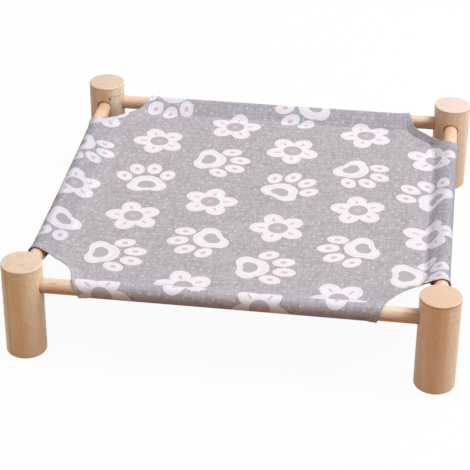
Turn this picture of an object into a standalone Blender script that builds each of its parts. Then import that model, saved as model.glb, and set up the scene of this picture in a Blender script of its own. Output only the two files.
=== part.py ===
"""Elevated cat bed: four round posts, four dowels and one sewn cloth cover.

The cover's four edges are sleeves, each folded round a dowel and sewn back under the cover.
The dowels plug into blind sockets in the posts, and the stretched cover holds the frame
together, so the bed has no screws and pulls apart to be washed.

Units are metres. +Z is up, +X is the bed's right and +Y its back. The origin is on the
floor, midway between the four posts.
"""

import math

import bmesh
import bpy
from mathutils import Matrix, Vector

# Posts
POST_SPACING_X = 0.400
POST_SPACING_Y = 0.400
POST_HEIGHT = 0.100
POST_DIAMETER = 0.040
POST_TOP_ROUND = 0.0012
POST_FOOT_ROUND = 0.0020
POST_SIDES = 48

# Dowels
DOWEL_DIAMETER = 0.015
DOWEL_HEIGHT = 0.075
DOWEL_CHAMFER = 0.0010
DOWEL_SIDES = 32

# Sockets in the posts: the wall is the wood between a socket's floor and the other socket
SOCKET_WALL = 0.0017
SOCKET_PLAY = 0.0008
SOCKET_SIDES = 32
CUTTER_OVERRUN = 0.005

# Clearance between two pieces that touch on the real bed
CONTACT_GAP = 0.0003

# Cover
CLOTH_THICKNESS = 0.0010
COVER_SAG = 0.0040
SEAM_INSET = 0.020
SEAM_ALLOWANCE = 0.008
MOUTH_SETBACK = 0.045
MOUTH_DRAW_IN = 0.013
CORNER_CUT_BOW = 0.0028
COVER_COLUMNS = 8
COVER_ROWS = 8
CORNER_STEPS = 5
SLEEVE_TURN_STEPS = 8

# Thread
THREAD_DIAMETER = 0.0008
SEAM_STITCH_INSET = 0.0012
SEAM_STITCH_END = 0.006
HEM_STITCH_INSET = 0.004
SEAM_THREAD_STEPS = 12

# Places that follow from the sizes above
POST_RADIUS = POST_DIAMETER / 2
DOWEL_RADIUS = DOWEL_DIAMETER / 2
SOCKET_RADIUS = DOWEL_RADIUS + SOCKET_PLAY
SOCKET_FLOOR = SOCKET_RADIUS + SOCKET_WALL
SOCKET_HEIGHT = DOWEL_HEIGHT + SOCKET_PLAY - CONTACT_GAP
POST_X = POST_SPACING_X / 2
POST_Y = POST_SPACING_Y / 2
SEAM_X = POST_X - SEAM_INSET
SEAM_Y = POST_Y - SEAM_INSET
LAYER_STEP = CLOTH_THICKNESS + CONTACT_GAP
THREAD_RADIUS = THREAD_DIAMETER / 2
THREAD_LIFT = CLOTH_THICKNESS / 2 + CONTACT_GAP + THREAD_RADIUS

# Finishes: colour and roughness
POST_WOOD = ((0.70, 0.50, 0.33), 0.55)
DOWEL_WOOD = ((0.76, 0.56, 0.41), 0.50)
COVER_CLOTH = ((0.48, 0.45, 0.48), 0.90)
SEWING_THREAD = ((0.62, 0.59, 0.62), 0.70)

# The two ends of each direction, by the words used in names
SIDES_X = (("left", -1), ("right", 1))
SIDES_Y = (("front", -1), ("back", 1))


def clear_scene():
    """Remove whatever the opened file holds."""
    for obj in list(bpy.data.objects):
        bpy.data.objects.remove(obj, do_unlink=True)


def paint(obj, finish):
    """Give the object its own Principled material."""
    colour, roughness = finish
    material = bpy.data.materials.new(obj.name + "_finish")
    material.use_nodes = True
    shader = material.node_tree.nodes["Principled BSDF"]
    shader.inputs["Base Color"].default_value = (*colour, 1.0)
    shader.inputs["Roughness"].default_value = roughness
    shader.inputs["Metallic"].default_value = 0.0
    obj.data.materials.append(material)


def add_object(name, data, parent=None, location=(0, 0, 0), rotation=(0, 0, 0)):
    """Link a new object to the scene under its parent."""
    obj = bpy.data.objects.new(name, data)
    obj.location = location
    obj.rotation_euler = rotation
    obj.parent = parent
    bpy.context.collection.objects.link(obj)
    return obj


def shade(mesh, angle_degrees=35):
    """Smooth the mesh and keep the edges sharper than the angle."""
    mesh.shade_smooth()
    mesh.set_sharp_from_angle(angle=math.radians(angle_degrees))


def rim_edges(bm, height):
    """The edges of the ring that lies at one height."""
    return [
        edge for edge in bm.edges
        if all(abs(vert.co.z - height) < 1e-6 for vert in edge.verts)
    ]


def round_bar(name, radius, length, sides, low_edge, high_edge, steps):
    """A round bar along Z, centred on its origin, with its two rims bevelled."""
    bm = bmesh.new()
    bmesh.ops.create_cone(
        bm, cap_ends=True, segments=sides, radius1=radius, radius2=radius, depth=length)
    for height, width in ((-length / 2, low_edge), (length / 2, high_edge)):
        bmesh.ops.bevel(
            bm, geom=rim_edges(bm, height), offset=width, segments=steps,
            profile=0.5, affect="EDGES", clamp_overlap=True)
    mesh = bpy.data.meshes.new(name)
    bm.to_mesh(mesh)
    bm.free()
    shade(mesh)
    return mesh


def socket_cutter_mesh():
    """The drill that leaves a socket: it runs along +X from the socket's flat floor."""
    length = POST_RADIUS + CUTTER_OVERRUN - SOCKET_FLOOR
    bm = bmesh.new()
    bmesh.ops.create_cone(
        bm, cap_ends=True, segments=SOCKET_SIDES, radius1=SOCKET_RADIUS,
        radius2=SOCKET_RADIUS, depth=length)
    bmesh.ops.transform(
        bm, verts=bm.verts,
        matrix=Matrix.Translation((SOCKET_FLOOR + length / 2, 0, 0))
        @ Matrix.Rotation(math.pi / 2, 4, "Y"))
    mesh = bpy.data.meshes.new("socket_cutter")
    bm.to_mesh(mesh)
    bm.free()
    return mesh


def build_posts(bed):
    """Four posts, each with two blind sockets facing its neighbours."""
    post_mesh = round_bar(
        "post", POST_RADIUS, POST_HEIGHT, POST_SIDES, POST_FOOT_ROUND, POST_TOP_ROUND, 2)
    cutter_mesh = socket_cutter_mesh()
    for side_y, sign_y in SIDES_Y:
        for side_x, sign_x in SIDES_X:
            name = f"post_{side_y}_{side_x}"
            post = add_object(
                name, post_mesh.copy(), bed,
                location=(sign_x * POST_X, sign_y * POST_Y, POST_HEIGHT / 2))
            paint(post, POST_WOOD)
            turn_x = math.pi if sign_x > 0 else 0.0
            turn_y = -sign_y * math.pi / 2
            for facing, turn in (("across", turn_x), ("along", turn_y)):
                cutter = add_object(
                    f"{name}_socket_{facing}", cutter_mesh, bed,
                    location=(sign_x * POST_X, sign_y * POST_Y, SOCKET_HEIGHT),
                    rotation=(0, 0, turn))
                cutter.hide_render = True
                cutter.display_type = "WIRE"
                drill = post.modifiers.new(f"socket_{facing}", "BOOLEAN")
                drill.operation = "DIFFERENCE"
                drill.solver = "EXACT"
                drill.object = cutter


def build_dowels(bed):
    """Four dowels, each resting in the sockets of two posts."""
    quarter = math.pi / 2
    end_x = POST_X - SOCKET_FLOOR - CONTACT_GAP
    end_y = POST_Y - SOCKET_FLOOR - CONTACT_GAP
    places = [
        (f"dowel_{side}", end_x, (0, sign * POST_Y, DOWEL_HEIGHT), (0, quarter, 0))
        for side, sign in SIDES_Y
    ] + [
        (f"dowel_{side}", end_y, (sign * POST_X, 0, DOWEL_HEIGHT), (quarter, 0, 0))
        for side, sign in SIDES_X
    ]
    for name, end, location, rotation in places:
        mesh = round_bar(
            name, DOWEL_RADIUS, 2 * end, DOWEL_SIDES, DOWEL_CHAMFER, DOWEL_CHAMFER, 1)
        dowel = add_object(name, mesh, bed, location, rotation)
        paint(dowel, DOWEL_WOOD)


def panel_height(x, y):
    """Height of the cover's middle surface between its seams, with its slight sag."""
    return DOWEL_HEIGHT - COVER_SAG * (1 - (x / SEAM_X) ** 2) * (1 - (y / SEAM_Y) ** 2)


def corner_cut():
    """The corner cut's arc: its centre on the corner's diagonal, radius and half angle.

    The arc runs through the ends of the two seams, bowed into the cloth. The centre is
    given as its distance from the post's axis along X, which is the same along Y.
    """
    half_chord = (MOUTH_SETBACK - SEAM_INSET) / math.sqrt(2)
    radius = (half_chord ** 2 + CORNER_CUT_BOW ** 2) / (2 * CORNER_CUT_BOW)
    middle = (MOUTH_SETBACK + SEAM_INSET) / 2
    centre = middle - (radius - CORNER_CUT_BOW) / math.sqrt(2)
    return centre, radius, math.asin(half_chord / radius)


def corner_arc(inset):
    """Points of the corner cut, or of a line inset from it, from front or back to the side.

    Each point is (p, q), the distance from the post's axis towards the bed's middle along X
    and along Y.
    """
    centre, radius, half_angle = corner_cut()
    angles = [
        math.pi / 4 + half_angle * (2 * step / CORNER_STEPS - 1)
        for step in range(CORNER_STEPS + 1)
    ]
    return [
        (
            centre + (radius + inset) * math.cos(angle),
            centre + (radius + inset) * math.sin(angle),
        )
        for angle in angles
    ]


def sleeve_section():
    """The sleeve's cross-section, from its seam over the dowel and back under the seam.

    Each station is (out, up, fold, along): its distance outwards from the seam, its height
    above the dowel's axis, the angle of its outward normal, and the length of cloth from
    the seam. The cloth leaves the seam straight, touches the dowel's top, turns round it
    and comes back straight from its underside.
    """
    turn_radius = DOWEL_RADIUS + CONTACT_GAP + CLOTH_THICKNESS / 2
    first = math.pi - math.acos(turn_radius / SEAM_INSET)
    under = math.hypot(SEAM_INSET, LAYER_STEP)
    last = -math.pi + math.atan2(LAYER_STEP, SEAM_INSET) + math.acos(turn_radius / under)
    step = (first - last) / SLEEVE_TURN_STEPS
    corner_radius = turn_radius / math.cos(step / 2)
    stations = []
    for turn in range(SLEEVE_TURN_STEPS):
        angle = first - (turn + 0.5) * step
        stations.append((
            SEAM_INSET + corner_radius * math.cos(angle),
            corner_radius * math.sin(angle), angle))
    stations.append((0.0, -LAYER_STEP, -math.pi / 2))
    stations.append((-SEAM_ALLOWANCE, -LAYER_STEP, -math.pi / 2))
    measured = []
    along = 0.0
    last_point = (0.0, 0.0)
    for out, up, normal in stations:
        along += math.hypot(out - last_point[0], up - last_point[1])
        measured.append((out, up, normal, along))
        last_point = (out, up)
    return measured, first, step


def half_sleeve(post, along):
    """Half the sleeve's length at a distance of cloth from the seam.

    The mouth carries on the corner cut's direction and then eases to a straight end.
    """
    slope = math.tan(math.pi / 4 - corner_cut()[2])
    draw_in = MOUTH_DRAW_IN * (1 - math.exp(-along * slope / MOUTH_DRAW_IN))
    return post - MOUTH_SETBACK - draw_in


def place_on_sleeve(side, sign, lengthwise, out, up):
    """Point of the front, back, left or right sleeve in the bed's own axes."""
    if side in ("front", "back"):
        x, y = lengthwise, sign * (SEAM_Y + out)
    else:
        x, y = sign * (SEAM_X + out), lengthwise
    if out < 0:
        return Vector((x, y, panel_height(x, y) + up))
    return Vector((x, y, DOWEL_HEIGHT + up))


def panel_rows():
    """Each row of the panel as (y, half its width), from the front seam to the back one."""
    corner = [(POST_Y - q, POST_X - p) for p, q in corner_arc(0.0)]
    straight_end = POST_Y - MOUTH_SETBACK
    middle = [
        (straight_end * (2 * row / COVER_ROWS - 1), SEAM_X) for row in range(1, COVER_ROWS)
    ]
    front = [(-y, half) for y, half in corner]
    back = [(y, half) for y, half in reversed(corner)]
    return front + middle + back


def cover_sheet():
    """The cover's middle surface: one sheet with its four edges folded round the dowels."""
    bm = bmesh.new()
    rows = panel_rows()
    shares = [2 * column / COVER_COLUMNS - 1 for column in range(COVER_COLUMNS + 1)]
    panel = [
        [
            bm.verts.new((share * half, y, panel_height(share * half, y)))
            for share in shares
        ]
        for y, half in rows
    ]
    skin(bm, panel)
    stations = sleeve_section()[0]
    side_rows = panel[CORNER_STEPS:CORNER_STEPS + COVER_ROWS + 1]
    edges = {
        "front": (-1, panel[0], POST_X),
        "back": (1, panel[-1], POST_X),
        "left": (-1, [row[0] for row in side_rows], POST_Y),
        "right": (1, [row[-1] for row in side_rows], POST_Y),
    }
    for side, (sign, seam, post) in edges.items():
        strip = [seam]
        for out, up, _, along in stations:
            half = half_sleeve(post, along)
            last = len(seam) - 1
            strip.append([
                bm.verts.new(place_on_sleeve(
                    side, sign, half * (2 * place / last - 1), out, up))
                for place in range(last + 1)
            ])
        skin(bm, strip)
    bmesh.ops.recalc_face_normals(bm, faces=bm.faces)
    middle = min(bm.faces, key=lambda face: face.calc_center_median().xy.length)
    if middle.normal.z < 0:
        bmesh.ops.reverse_faces(bm, faces=bm.faces)
    return bm


def skin(bm, lines):
    """Faces between neighbouring lines of vertices."""
    for low, high in zip(lines, lines[1:]):
        for place in range(len(low) - 1):
            bm.faces.new((low[place], low[place + 1], high[place + 1], high[place]))


def build_cover(bed):
    """The cloth cover, a sheet given its thickness both ways from its middle surface."""
    bm = cover_sheet()
    mesh = bpy.data.meshes.new("cover")
    bm.to_mesh(mesh)
    bm.free()
    shade(mesh, 40)
    cover = add_object("cover", mesh, bed)
    paint(cover, COVER_CLOTH)
    cloth = cover.modifiers.new("cloth_thickness", "SOLIDIFY")
    cloth.thickness = CLOTH_THICKNESS
    cloth.offset = 0.0
    cloth.use_even_offset = True
    cloth.use_rim = True


def add_thread(name, points, bed):
    """A row of thread as a thin round line through its points."""
    curve = bpy.data.curves.new(name, "CURVE")
    curve.dimensions = "3D"
    curve.bevel_depth = THREAD_RADIUS
    curve.bevel_resolution = 1
    curve.use_fill_caps = True
    line = curve.splines.new("POLY")
    line.points.add(len(points) - 1)
    for place, point in zip(line.points, points):
        place.co = (*point, 1.0)
    thread = add_object(name, curve, bed)
    paint(thread, SEWING_THREAD)


def seam_thread_points(side, sign):
    """The row along a sleeve's seam, just inside it on the panel."""
    across = side in ("front", "back")
    end = (POST_X if across else POST_Y) - MOUTH_SETBACK - SEAM_STITCH_END
    points = []
    for step in range(SEAM_THREAD_STEPS + 1):
        lengthwise = end * (2 * step / SEAM_THREAD_STEPS - 1)
        if across:
            x, y = lengthwise, sign * (SEAM_Y - SEAM_STITCH_INSET)
        else:
            x, y = sign * (SEAM_X - SEAM_STITCH_INSET), lengthwise
        points.append(Vector((x, y, panel_height(x, y) + THREAD_LIFT)))
    return points


def hem_branch(side, sign, end_sign, post):
    """The hem row on one sleeve's end, from under the dowel up to the seam."""
    stations, first, step = sleeve_section()
    turning = stations[:SLEEVE_TURN_STEPS]
    corner_lift = THREAD_LIFT / math.cos(step / 2)
    branch = []
    for out, up, normal, along in reversed(turning):
        end = end_sign * (half_sleeve(post, along) - HEM_STITCH_INSET)
        branch.append(place_on_sleeve(
            side, sign, end,
            out + corner_lift * math.cos(normal), up + corner_lift * math.sin(normal)))
    seam_normal = (first + math.pi / 2) / 2
    seam_lift = THREAD_LIFT / math.cos((first - math.pi / 2) / 2)
    end = end_sign * (post - MOUTH_SETBACK - HEM_STITCH_INSET)
    seam_point = place_on_sleeve(side, sign, end, 0.0, seam_lift * math.sin(seam_normal))
    inwards = seam_lift * math.cos(seam_normal) * sign
    seam_point += Vector((0, inwards, 0) if side in ("front", "back") else (inwards, 0, 0))
    branch.append(seam_point)
    return branch


def hem_thread_points(side_y, sign_y, side_x, sign_x):
    """The row along a corner's hem, from under one sleeve's end to under the other's."""
    points = hem_branch(side_y, sign_y, sign_x, POST_X)
    for p, q in corner_arc(HEM_STITCH_INSET)[1:-1]:
        x, y = sign_x * (POST_X - p), sign_y * (POST_Y - q)
        points.append(Vector((x, y, panel_height(x, y) + THREAD_LIFT)))
    points += reversed(hem_branch(side_x, sign_x, sign_y, POST_Y))
    return points


def build_threads(bed):
    """The rows of thread along the four seams and the four corner hems."""
    for side, sign in SIDES_Y + SIDES_X:
        add_thread(f"seam_thread_{side}", seam_thread_points(side, sign), bed)
    for side_y, sign_y in SIDES_Y:
        for side_x, sign_x in SIDES_X:
            add_thread(
                f"hem_thread_{side_y}_{side_x}",
                hem_thread_points(side_y, sign_y, side_x, sign_x), bed)


def main():
    """Build the whole bed under one empty."""
    clear_scene()
    bed = add_object("cat_bed", None)
    build_posts(bed)
    build_dowels(bed)
    build_cover(bed)
    build_threads(bed)


main()
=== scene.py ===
"""Looks of the elevated cat bed: bare wooden posts and dowels and one sewn, printed cloth cover.

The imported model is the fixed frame. The posts and dowels are turned again here with finer rims,
and the cover is made from the way its cloth is cut: every point of it has a place in the flat
cloth, and CoverCut says where that place lies on the made-up bed. The turned hems, the stitches
and the print all follow from it.

Lengths are in metres, and in millimetres inside the shader nodes. +Z is up, +X is the bed's
right and +Y its back.
"""

from __future__ import annotations

import logging
import math
from dataclasses import dataclass, field
from enum import Enum
from typing import Any, Callable, Sequence

import bmesh
import bpy
import numpy as np
from mathutils import Matrix, Vector

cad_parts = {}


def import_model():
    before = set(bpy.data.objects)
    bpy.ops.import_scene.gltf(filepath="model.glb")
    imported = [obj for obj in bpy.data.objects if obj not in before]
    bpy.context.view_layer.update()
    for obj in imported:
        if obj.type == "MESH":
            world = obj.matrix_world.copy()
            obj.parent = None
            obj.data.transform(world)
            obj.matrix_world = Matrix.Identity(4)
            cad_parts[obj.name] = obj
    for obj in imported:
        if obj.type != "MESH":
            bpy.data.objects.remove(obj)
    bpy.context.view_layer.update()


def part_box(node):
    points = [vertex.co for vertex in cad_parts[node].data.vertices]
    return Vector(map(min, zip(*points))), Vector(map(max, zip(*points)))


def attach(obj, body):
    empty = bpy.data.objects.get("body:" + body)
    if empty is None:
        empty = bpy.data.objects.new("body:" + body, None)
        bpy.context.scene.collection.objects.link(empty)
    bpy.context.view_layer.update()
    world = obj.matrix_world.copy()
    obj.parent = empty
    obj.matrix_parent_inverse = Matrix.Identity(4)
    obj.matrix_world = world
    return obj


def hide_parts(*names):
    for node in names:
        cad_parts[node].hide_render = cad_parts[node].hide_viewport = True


LOG = logging.getLogger("cat_bed")
BODY = "root"
MM = 0.001
TO_MM = (1000.0, 1000.0, 1000.0)
QUARTER_TURN = math.pi / 2
FLAT_MAP = "flat_cloth"
VECTOR_INPUTS = ("Vector", "Centre", "Stretch")
SAME_LEVEL = 1e-6

Triple = tuple[float, float, float]


class Side(Enum):
    """The four edges of the bed.

    Each has its word in names, the axis that points outwards, 0 for X and 1 for Y, and the
    direction outwards along that axis.
    """

    FRONT = ("front", 1, -1)
    BACK = ("back", 1, 1)
    LEFT = ("left", 0, -1)
    RIGHT = ("right", 0, 1)

    def __init__(self, word: str, axis: int, sign: int) -> None:
        """Keep the side's word, axis and direction."""
        self.word, self.axis, self.sign = word, axis, sign


class Corner(Enum):
    """The four corners of the bed: their words in names and the signs of X and Y."""

    FRONT_LEFT = ("front_left", -1, -1)
    FRONT_RIGHT = ("front_right", 1, -1)
    BACK_LEFT = ("back_left", -1, 1)
    BACK_RIGHT = ("back_right", 1, 1)

    def __init__(self, word: str, sign_x: int, sign_y: int) -> None:
        """Keep the corner's words and signs."""
        self.word, self.signs = word, np.array([sign_x, sign_y], float)


# Selecting, shaping and finishing meshes


def deselect_all() -> None:
    """Leave nothing selected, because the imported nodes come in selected."""
    bpy.ops.object.select_all(action="DESELECT")


def select_only(piece: bpy.types.Object) -> None:
    """Make one object the only selected one, and the active one.

    Args:
        piece: the object to select.
    """
    deselect_all()
    piece.select_set(True)
    bpy.context.view_layer.objects.active = piece


def select_parts(piece: bpy.types.Object, kind: str, wanted: Callable[[Any], bool]) -> int:
    """Select only the wanted edges or vertices of a piece, in edit mode.

    Args:
        piece: the object to edit.
        kind: EDGE or VERT.
        wanted: says whether a bmesh edge or vertex is selected.

    Returns:
        How many are selected.
    """
    if piece.mode != "EDIT":
        select_only(piece)
        bpy.ops.object.mode_set(mode="EDIT")
    bpy.ops.mesh.select_mode(type=kind)
    bpy.ops.mesh.select_all(action="DESELECT")
    cage = bmesh.from_edit_mesh(piece.data)
    found = [part for part in (cage.edges if kind == "EDGE" else cage.verts) if wanted(part)]
    for part in found:
        part.select_set(True)
    cage.select_flush_mode()
    bmesh.update_edit_mesh(piece.data)
    return len(found)


def bevel(
    piece: bpy.types.Object, wanted: Callable[[Any], bool], width: float, steps: int,
    clamp: bool = False,
) -> None:
    """Round the wanted edges of a piece.

    Args:
        piece: the object, in object mode.
        wanted: says whether a bmesh edge is rounded.
        width: the bevel's width.
        steps: its segments.
        clamp: keep it from running into itself.
    """
    if select_parts(piece, "EDGE", wanted):
        bpy.ops.mesh.bevel(
            offset=width, segments=steps, profile=0.5, affect="EDGES", clamp_overlap=clamp)
    bpy.ops.object.mode_set(mode="OBJECT")


def turned_bar(
    name: str, sides: int, radius: float, length: float, middle: Sequence[float], axis: int
) -> bpy.types.Object:
    """Add a round bar.

    Args:
        name: its name.
        sides: how many flat sides make it round.
        radius: its radius.
        length: its length.
        middle: its middle.
        axis: the axis that it lies along, 0 for X, 1 for Y and 2 for Z.

    Returns:
        The bar.
    """
    turn = [0.0, 0.0, 0.0]
    if axis < 2:
        turn[1 - axis] = QUARTER_TURN
    deselect_all()
    bpy.ops.mesh.primitive_cylinder_add(
        vertices=sides, radius=radius, depth=length, location=middle, rotation=turn)
    bar = bpy.context.object
    bar.name = bar.data.name = name
    return bar


def settle(piece: bpy.types.Object) -> None:
    """Put a piece's place and turn into its mesh.

    Args:
        piece: the object, in object mode.
    """
    select_only(piece)
    bpy.ops.object.transform_apply(location=True, rotation=True, scale=True)


def smooth_faces(piece: bpy.types.Object, degrees: float) -> None:
    """Shade a piece smooth, apart from edges sharper than an angle.

    Args:
        piece: the object, in object mode.
        degrees: the angle.
    """
    select_only(piece)
    bpy.ops.object.shade_smooth_by_angle(angle=math.radians(degrees))


def apply_modifier(
    piece: bpy.types.Object, name: str, kind: str, **settings: Any
) -> None:
    """Add a modifier to a piece and apply it at once.

    Args:
        piece: the object, in object mode.
        name: the modifier's name.
        kind: its type.
        **settings: its properties.
    """
    modifier = piece.modifiers.new(name, kind)
    for label, value in settings.items():
        setattr(modifier, label, value)
    select_only(piece)
    bpy.ops.object.modifier_apply(modifier=modifier.name)


def mesh_piece(
    name: str, points: np.ndarray, faces: Sequence[Sequence[int]]
) -> bpy.types.Object:
    """Make an object from points and faces.

    Args:
        name: the object's and the mesh's name.
        points: one row of X, Y, Z for each vertex.
        faces: the vertex numbers of each face.

    Returns:
        The new object.
    """
    mesh = bpy.data.meshes.new(name)
    mesh.from_pydata(points.tolist(), [], [list(face) for face in faces])
    mesh.update()
    piece = bpy.data.objects.new(name, mesh)
    bpy.context.scene.collection.objects.link(piece)
    return piece


def hand_over(piece: bpy.types.Object, node: str) -> bpy.types.Object:
    """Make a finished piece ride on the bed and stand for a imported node.

    Args:
        piece: the piece.
        node: the node that it replaces.

    Returns:
        The piece.
    """
    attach(piece, BODY)
    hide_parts(node)
    return piece


# Shader nodes


class Wire:
    """A value in a shader tree. Arithmetic on it adds Math or Vector Math nodes."""

    def __init__(self, board: Board, socket: bpy.types.NodeSocket) -> None:
        """Keep the board and the socket that puts out the value."""
        self.board, self.socket = board, socket

    def run(self, operation: str, *terms: Any) -> Wire:
        """Add a Math node, or for a vector a Vector Math node, that works on this value.

        Args:
            operation: what the node does.
            *terms: its further terms, wires or constants.

        Returns:
            The result, a number for LENGTH and DOT_PRODUCT.
        """
        vector = self.socket.type in ("VECTOR", "RGBA")
        return self.board.work(vector, operation, self, *terms)

    def __add__(self, term: Any) -> Wire:
        """Add a term."""
        return self.run("ADD", term)

    def __sub__(self, term: Any) -> Wire:
        """Take a term away."""
        return self.run("SUBTRACT", term)

    def __rsub__(self, term: float) -> Wire:
        """Take this number away from another one."""
        return self.board.work(False, "SUBTRACT", term, self)

    def __mul__(self, term: Any) -> Wire:
        """Multiply by a term."""
        return self.run("MULTIPLY", term)

    def __truediv__(self, term: Any) -> Wire:
        """Divide by a term."""
        return self.run("DIVIDE", term)

    def __rtruediv__(self, term: float) -> Wire:
        """Divide another number by this one."""
        return self.board.work(False, "DIVIDE", term, self)

    def line(self, slope: float, start: float) -> Wire:
        """Return slope times this value plus start."""
        return self.run("MULTIPLY_ADD", slope, start)

    def split(self) -> list[Wire]:
        """Return a vector's X, Y and Z."""
        return self.board.wires(self.board.add("ShaderNodeSeparateXYZ", {0: self}))

    def spin(self, angle: Any) -> Wire:
        """Turn a vector about Z by an angle in radians."""
        return self.board.wire(
            "ShaderNodeVectorRotate", {"Vector": self, "Angle": angle}, rotation_type="Z_AXIS")

    def step(self, low: Any, high: Any) -> Wire:
        """Rise with eased ends from 0 to 1, or fall where high is the lower number.

        Args:
            low: where the result is 0.
            high: where the result is 1.

        Returns:
            The result.
        """
        return self.board.wire(
            "ShaderNodeMapRange", {"Value": self, "From Min": low, "From Max": high},
            interpolation_type="SMOOTHSTEP", clamp=True)

    def noise(self, scale: float, detail: float = 2.0, rough: float = 0.5) -> Wire:
        """Read a noise at this place.

        Args:
            scale: features per unit of the vector.
            detail: octaves.
            rough: how strong the finer octaves are.

        Returns:
            A value about 0.5.
        """
        return self.board.wire("ShaderNodeTexNoise", {
            "Vector": self, "Scale": scale, "Detail": detail, "Roughness": rough})

    def mix(self, first: Any, second: Any, way: str = "MIX") -> Wire:
        """Mix two colours, with this value as the second one's share.

        Args:
            first: a colour or wire.
            second: a colour or wire.
            way: the blend type.

        Returns:
            The colour.
        """
        return self.board.wire(
            "ShaderNodeMix", {0: self, 6: first, 7: second}, 2, data_type="RGBA",
            blend_type=way)


class Board:
    """Adds shader nodes to one tree and joins them."""

    def __init__(self, tree: bpy.types.NodeTree) -> None:
        """Keep the tree that the nodes go into."""
        self.tree = tree

    def feed(self, socket: bpy.types.NodeSocket, value: Any) -> None:
        """Join a socket to a wire, or write a constant there.

        Args:
            socket: the input.
            value: a wire, a number, a vector or a colour of three parts.
        """
        if isinstance(value, Wire):
            self.tree.links.new(value.socket, socket)
        else:
            socket.default_value = (*value, 1.0) if socket.type == "RGBA" else value

    def add(
        self, kind: str, inputs: dict[Any, Any] | None = None, **settings: Any
    ) -> bpy.types.Node:
        """Add a node.

        Args:
            kind: the node's type.
            inputs: what goes into its inputs, by name or number.
            **settings: its properties.

        Returns:
            The node.
        """
        node = self.tree.nodes.new(kind)
        for name, value in settings.items():
            setattr(node, name, value)
        for name, value in (inputs or {}).items():
            self.feed(node.inputs[name], value)
        return node

    def wire(
        self, kind: str, inputs: dict[Any, Any] | None = None, output: int | str = 0,
        **settings: Any,
    ) -> Wire:
        """Add a node and return one of its outputs.

        Args:
            kind: the node's type.
            inputs: what goes into its inputs, by name or number.
            output: the output's name or number.
            **settings: its properties.

        Returns:
            The output's wire.
        """
        return Wire(self, self.add(kind, inputs, **settings).outputs[output])

    def wires(self, node: bpy.types.Node) -> list[Wire]:
        """Return a wire from each output of a node."""
        return [Wire(self, socket) for socket in node.outputs]

    def work(self, vector: bool, operation: str, *terms: Any) -> Wire:
        """Add a Math or Vector Math node.

        Args:
            vector: make it a Vector Math node.
            operation: what it does.
            *terms: wires or constants.

        Returns:
            Its result.
        """
        number = not vector or operation in ("LENGTH", "DOT_PRODUCT")
        return self.wire(
            "ShaderNodeVectorMath" if vector else "ShaderNodeMath", dict(enumerate(terms)),
            "Value" if number else "Vector", operation=operation)

    def join(self, x: Any, y: Any = 0.0, z: Any = 0.0) -> Wire:
        """Return the vector of three numbers."""
        return self.wire("ShaderNodeCombineXYZ", {0: x, 1: y, 2: z})

    def chance(self, column: Wire, row: Wire) -> tuple[Wire, Wire]:
        """Draw a lattice cell's random number and random vector.

        Args:
            column: the cell's column.
            row: the cell's row.

        Returns:
            The number from 0 to 1, and a vector with parts from -0.5 to 0.5.
        """
        node = self.add(
            "ShaderNodeTexWhiteNoise", {"Vector": self.join(column, row)},
            noise_dimensions="2D")
        colour = Wire(self, node.outputs["Color"])
        return Wire(self, node.outputs["Value"]), colour - (0.5, 0.5, 0.5)

    def group(self, tree: bpy.types.NodeTree, **values: Any) -> list[Wire]:
        """Place a node group.

        Args:
            tree: the group.
            **values: its inputs by name, with _ for each space.

        Returns:
            Its outputs.
        """
        inputs = {name.replace("_", " "): value for name, value in values.items()}
        return self.wires(self.add("ShaderNodeGroup", inputs, node_tree=tree))


class Group(Board):
    """A shader node group in the making, whose `takes` are wires from its inputs."""

    def __init__(self, name: str, *inputs: str) -> None:
        """Start the group.

        Args:
            name: the group's name.
            *inputs: the names of its inputs, vectors if VECTOR_INPUTS names them.
        """
        super().__init__(bpy.data.node_groups.new(name, "ShaderNodeTree"))
        for label in inputs:
            kind = "NodeSocketVector" if label in VECTOR_INPUTS else "NodeSocketFloat"
            self.tree.interface.new_socket(name=label, in_out="INPUT", socket_type=kind)
        self.takes = self.wires(self.add("NodeGroupInput"))[:len(inputs)]

    def give(self, **values: Wire) -> bpy.types.NodeTree:
        """Name the group's results, which are all numbers, and end it.

        Args:
            **values: the results by name.

        Returns:
            The group.
        """
        for label in values:
            self.tree.interface.new_socket(
                name=label, in_out="OUTPUT", socket_type="NodeSocketFloat")
        self.add("NodeGroupOutput", values)
        return self.tree


def grain_group() -> bpy.types.NodeTree:
    """Grow a board's grain round a pith along Z, in millimetres.

    Returns:
        A group that puts out the growth rings, the fine fibres, the broad tone, the orange
        flames of resin and the small dark specks.
    """
    group = Group("wood_grain", "Vector", "Ring Width", "Wander", "Seed")
    place, ring_width, reach, seed = group.takes
    shift = group.join(seed, seed, seed)

    def drawn_out(share: float) -> Wire:
        """Return the place with its length cut to a share, which draws a noise out along it."""
        return place * (1.0, 1.0, share) + shift

    wander = drawn_out(0.22).noise(0.045) - 0.5
    x, y, _ = place.split()
    count = (group.join(x, y).run("LENGTH") + wander * (reach * 2.0)) / ring_width
    turn = (count + (group.join(count).noise(0.7, 1.0) - 0.5)).run("FRACT")
    broad = drawn_out(0.10)
    return group.give(
        Rings=turn.step(0.15, 0.86) * turn.step(1.0, 0.90),
        Fibres=drawn_out(0.035).noise(0.50, 5.0, 0.66),
        Tone=broad.noise(0.10),
        Flame=(broad + (40.0, 11.0, 7.0)).noise(0.17),
        Speck=drawn_out(0.30).noise(0.75, 2.0, 0.55).step(0.70, 0.78))


def knot_group() -> bpy.types.NodeTree:
    """Mark a small dark spot in millimetres: a knot, a fleck, and in places a patch of painted
    shadow.

    Returns:
        A group that puts out the knot's dark core, and the swirl that it gives the grain.
    """
    group = Group("knot_and_shadow_fleck", "Vector", "Centre", "Radius", "Stretch")
    place, centre, radius, stretch = group.takes
    away = place - centre
    far = (away * stretch).run("LENGTH") + away.noise(0.5) * 0.8
    return group.give(
        Core=far.step(radius * 1.5, radius * 0.5), Swirl=far.step(radius * 6.5, radius * 0.6))


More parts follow.
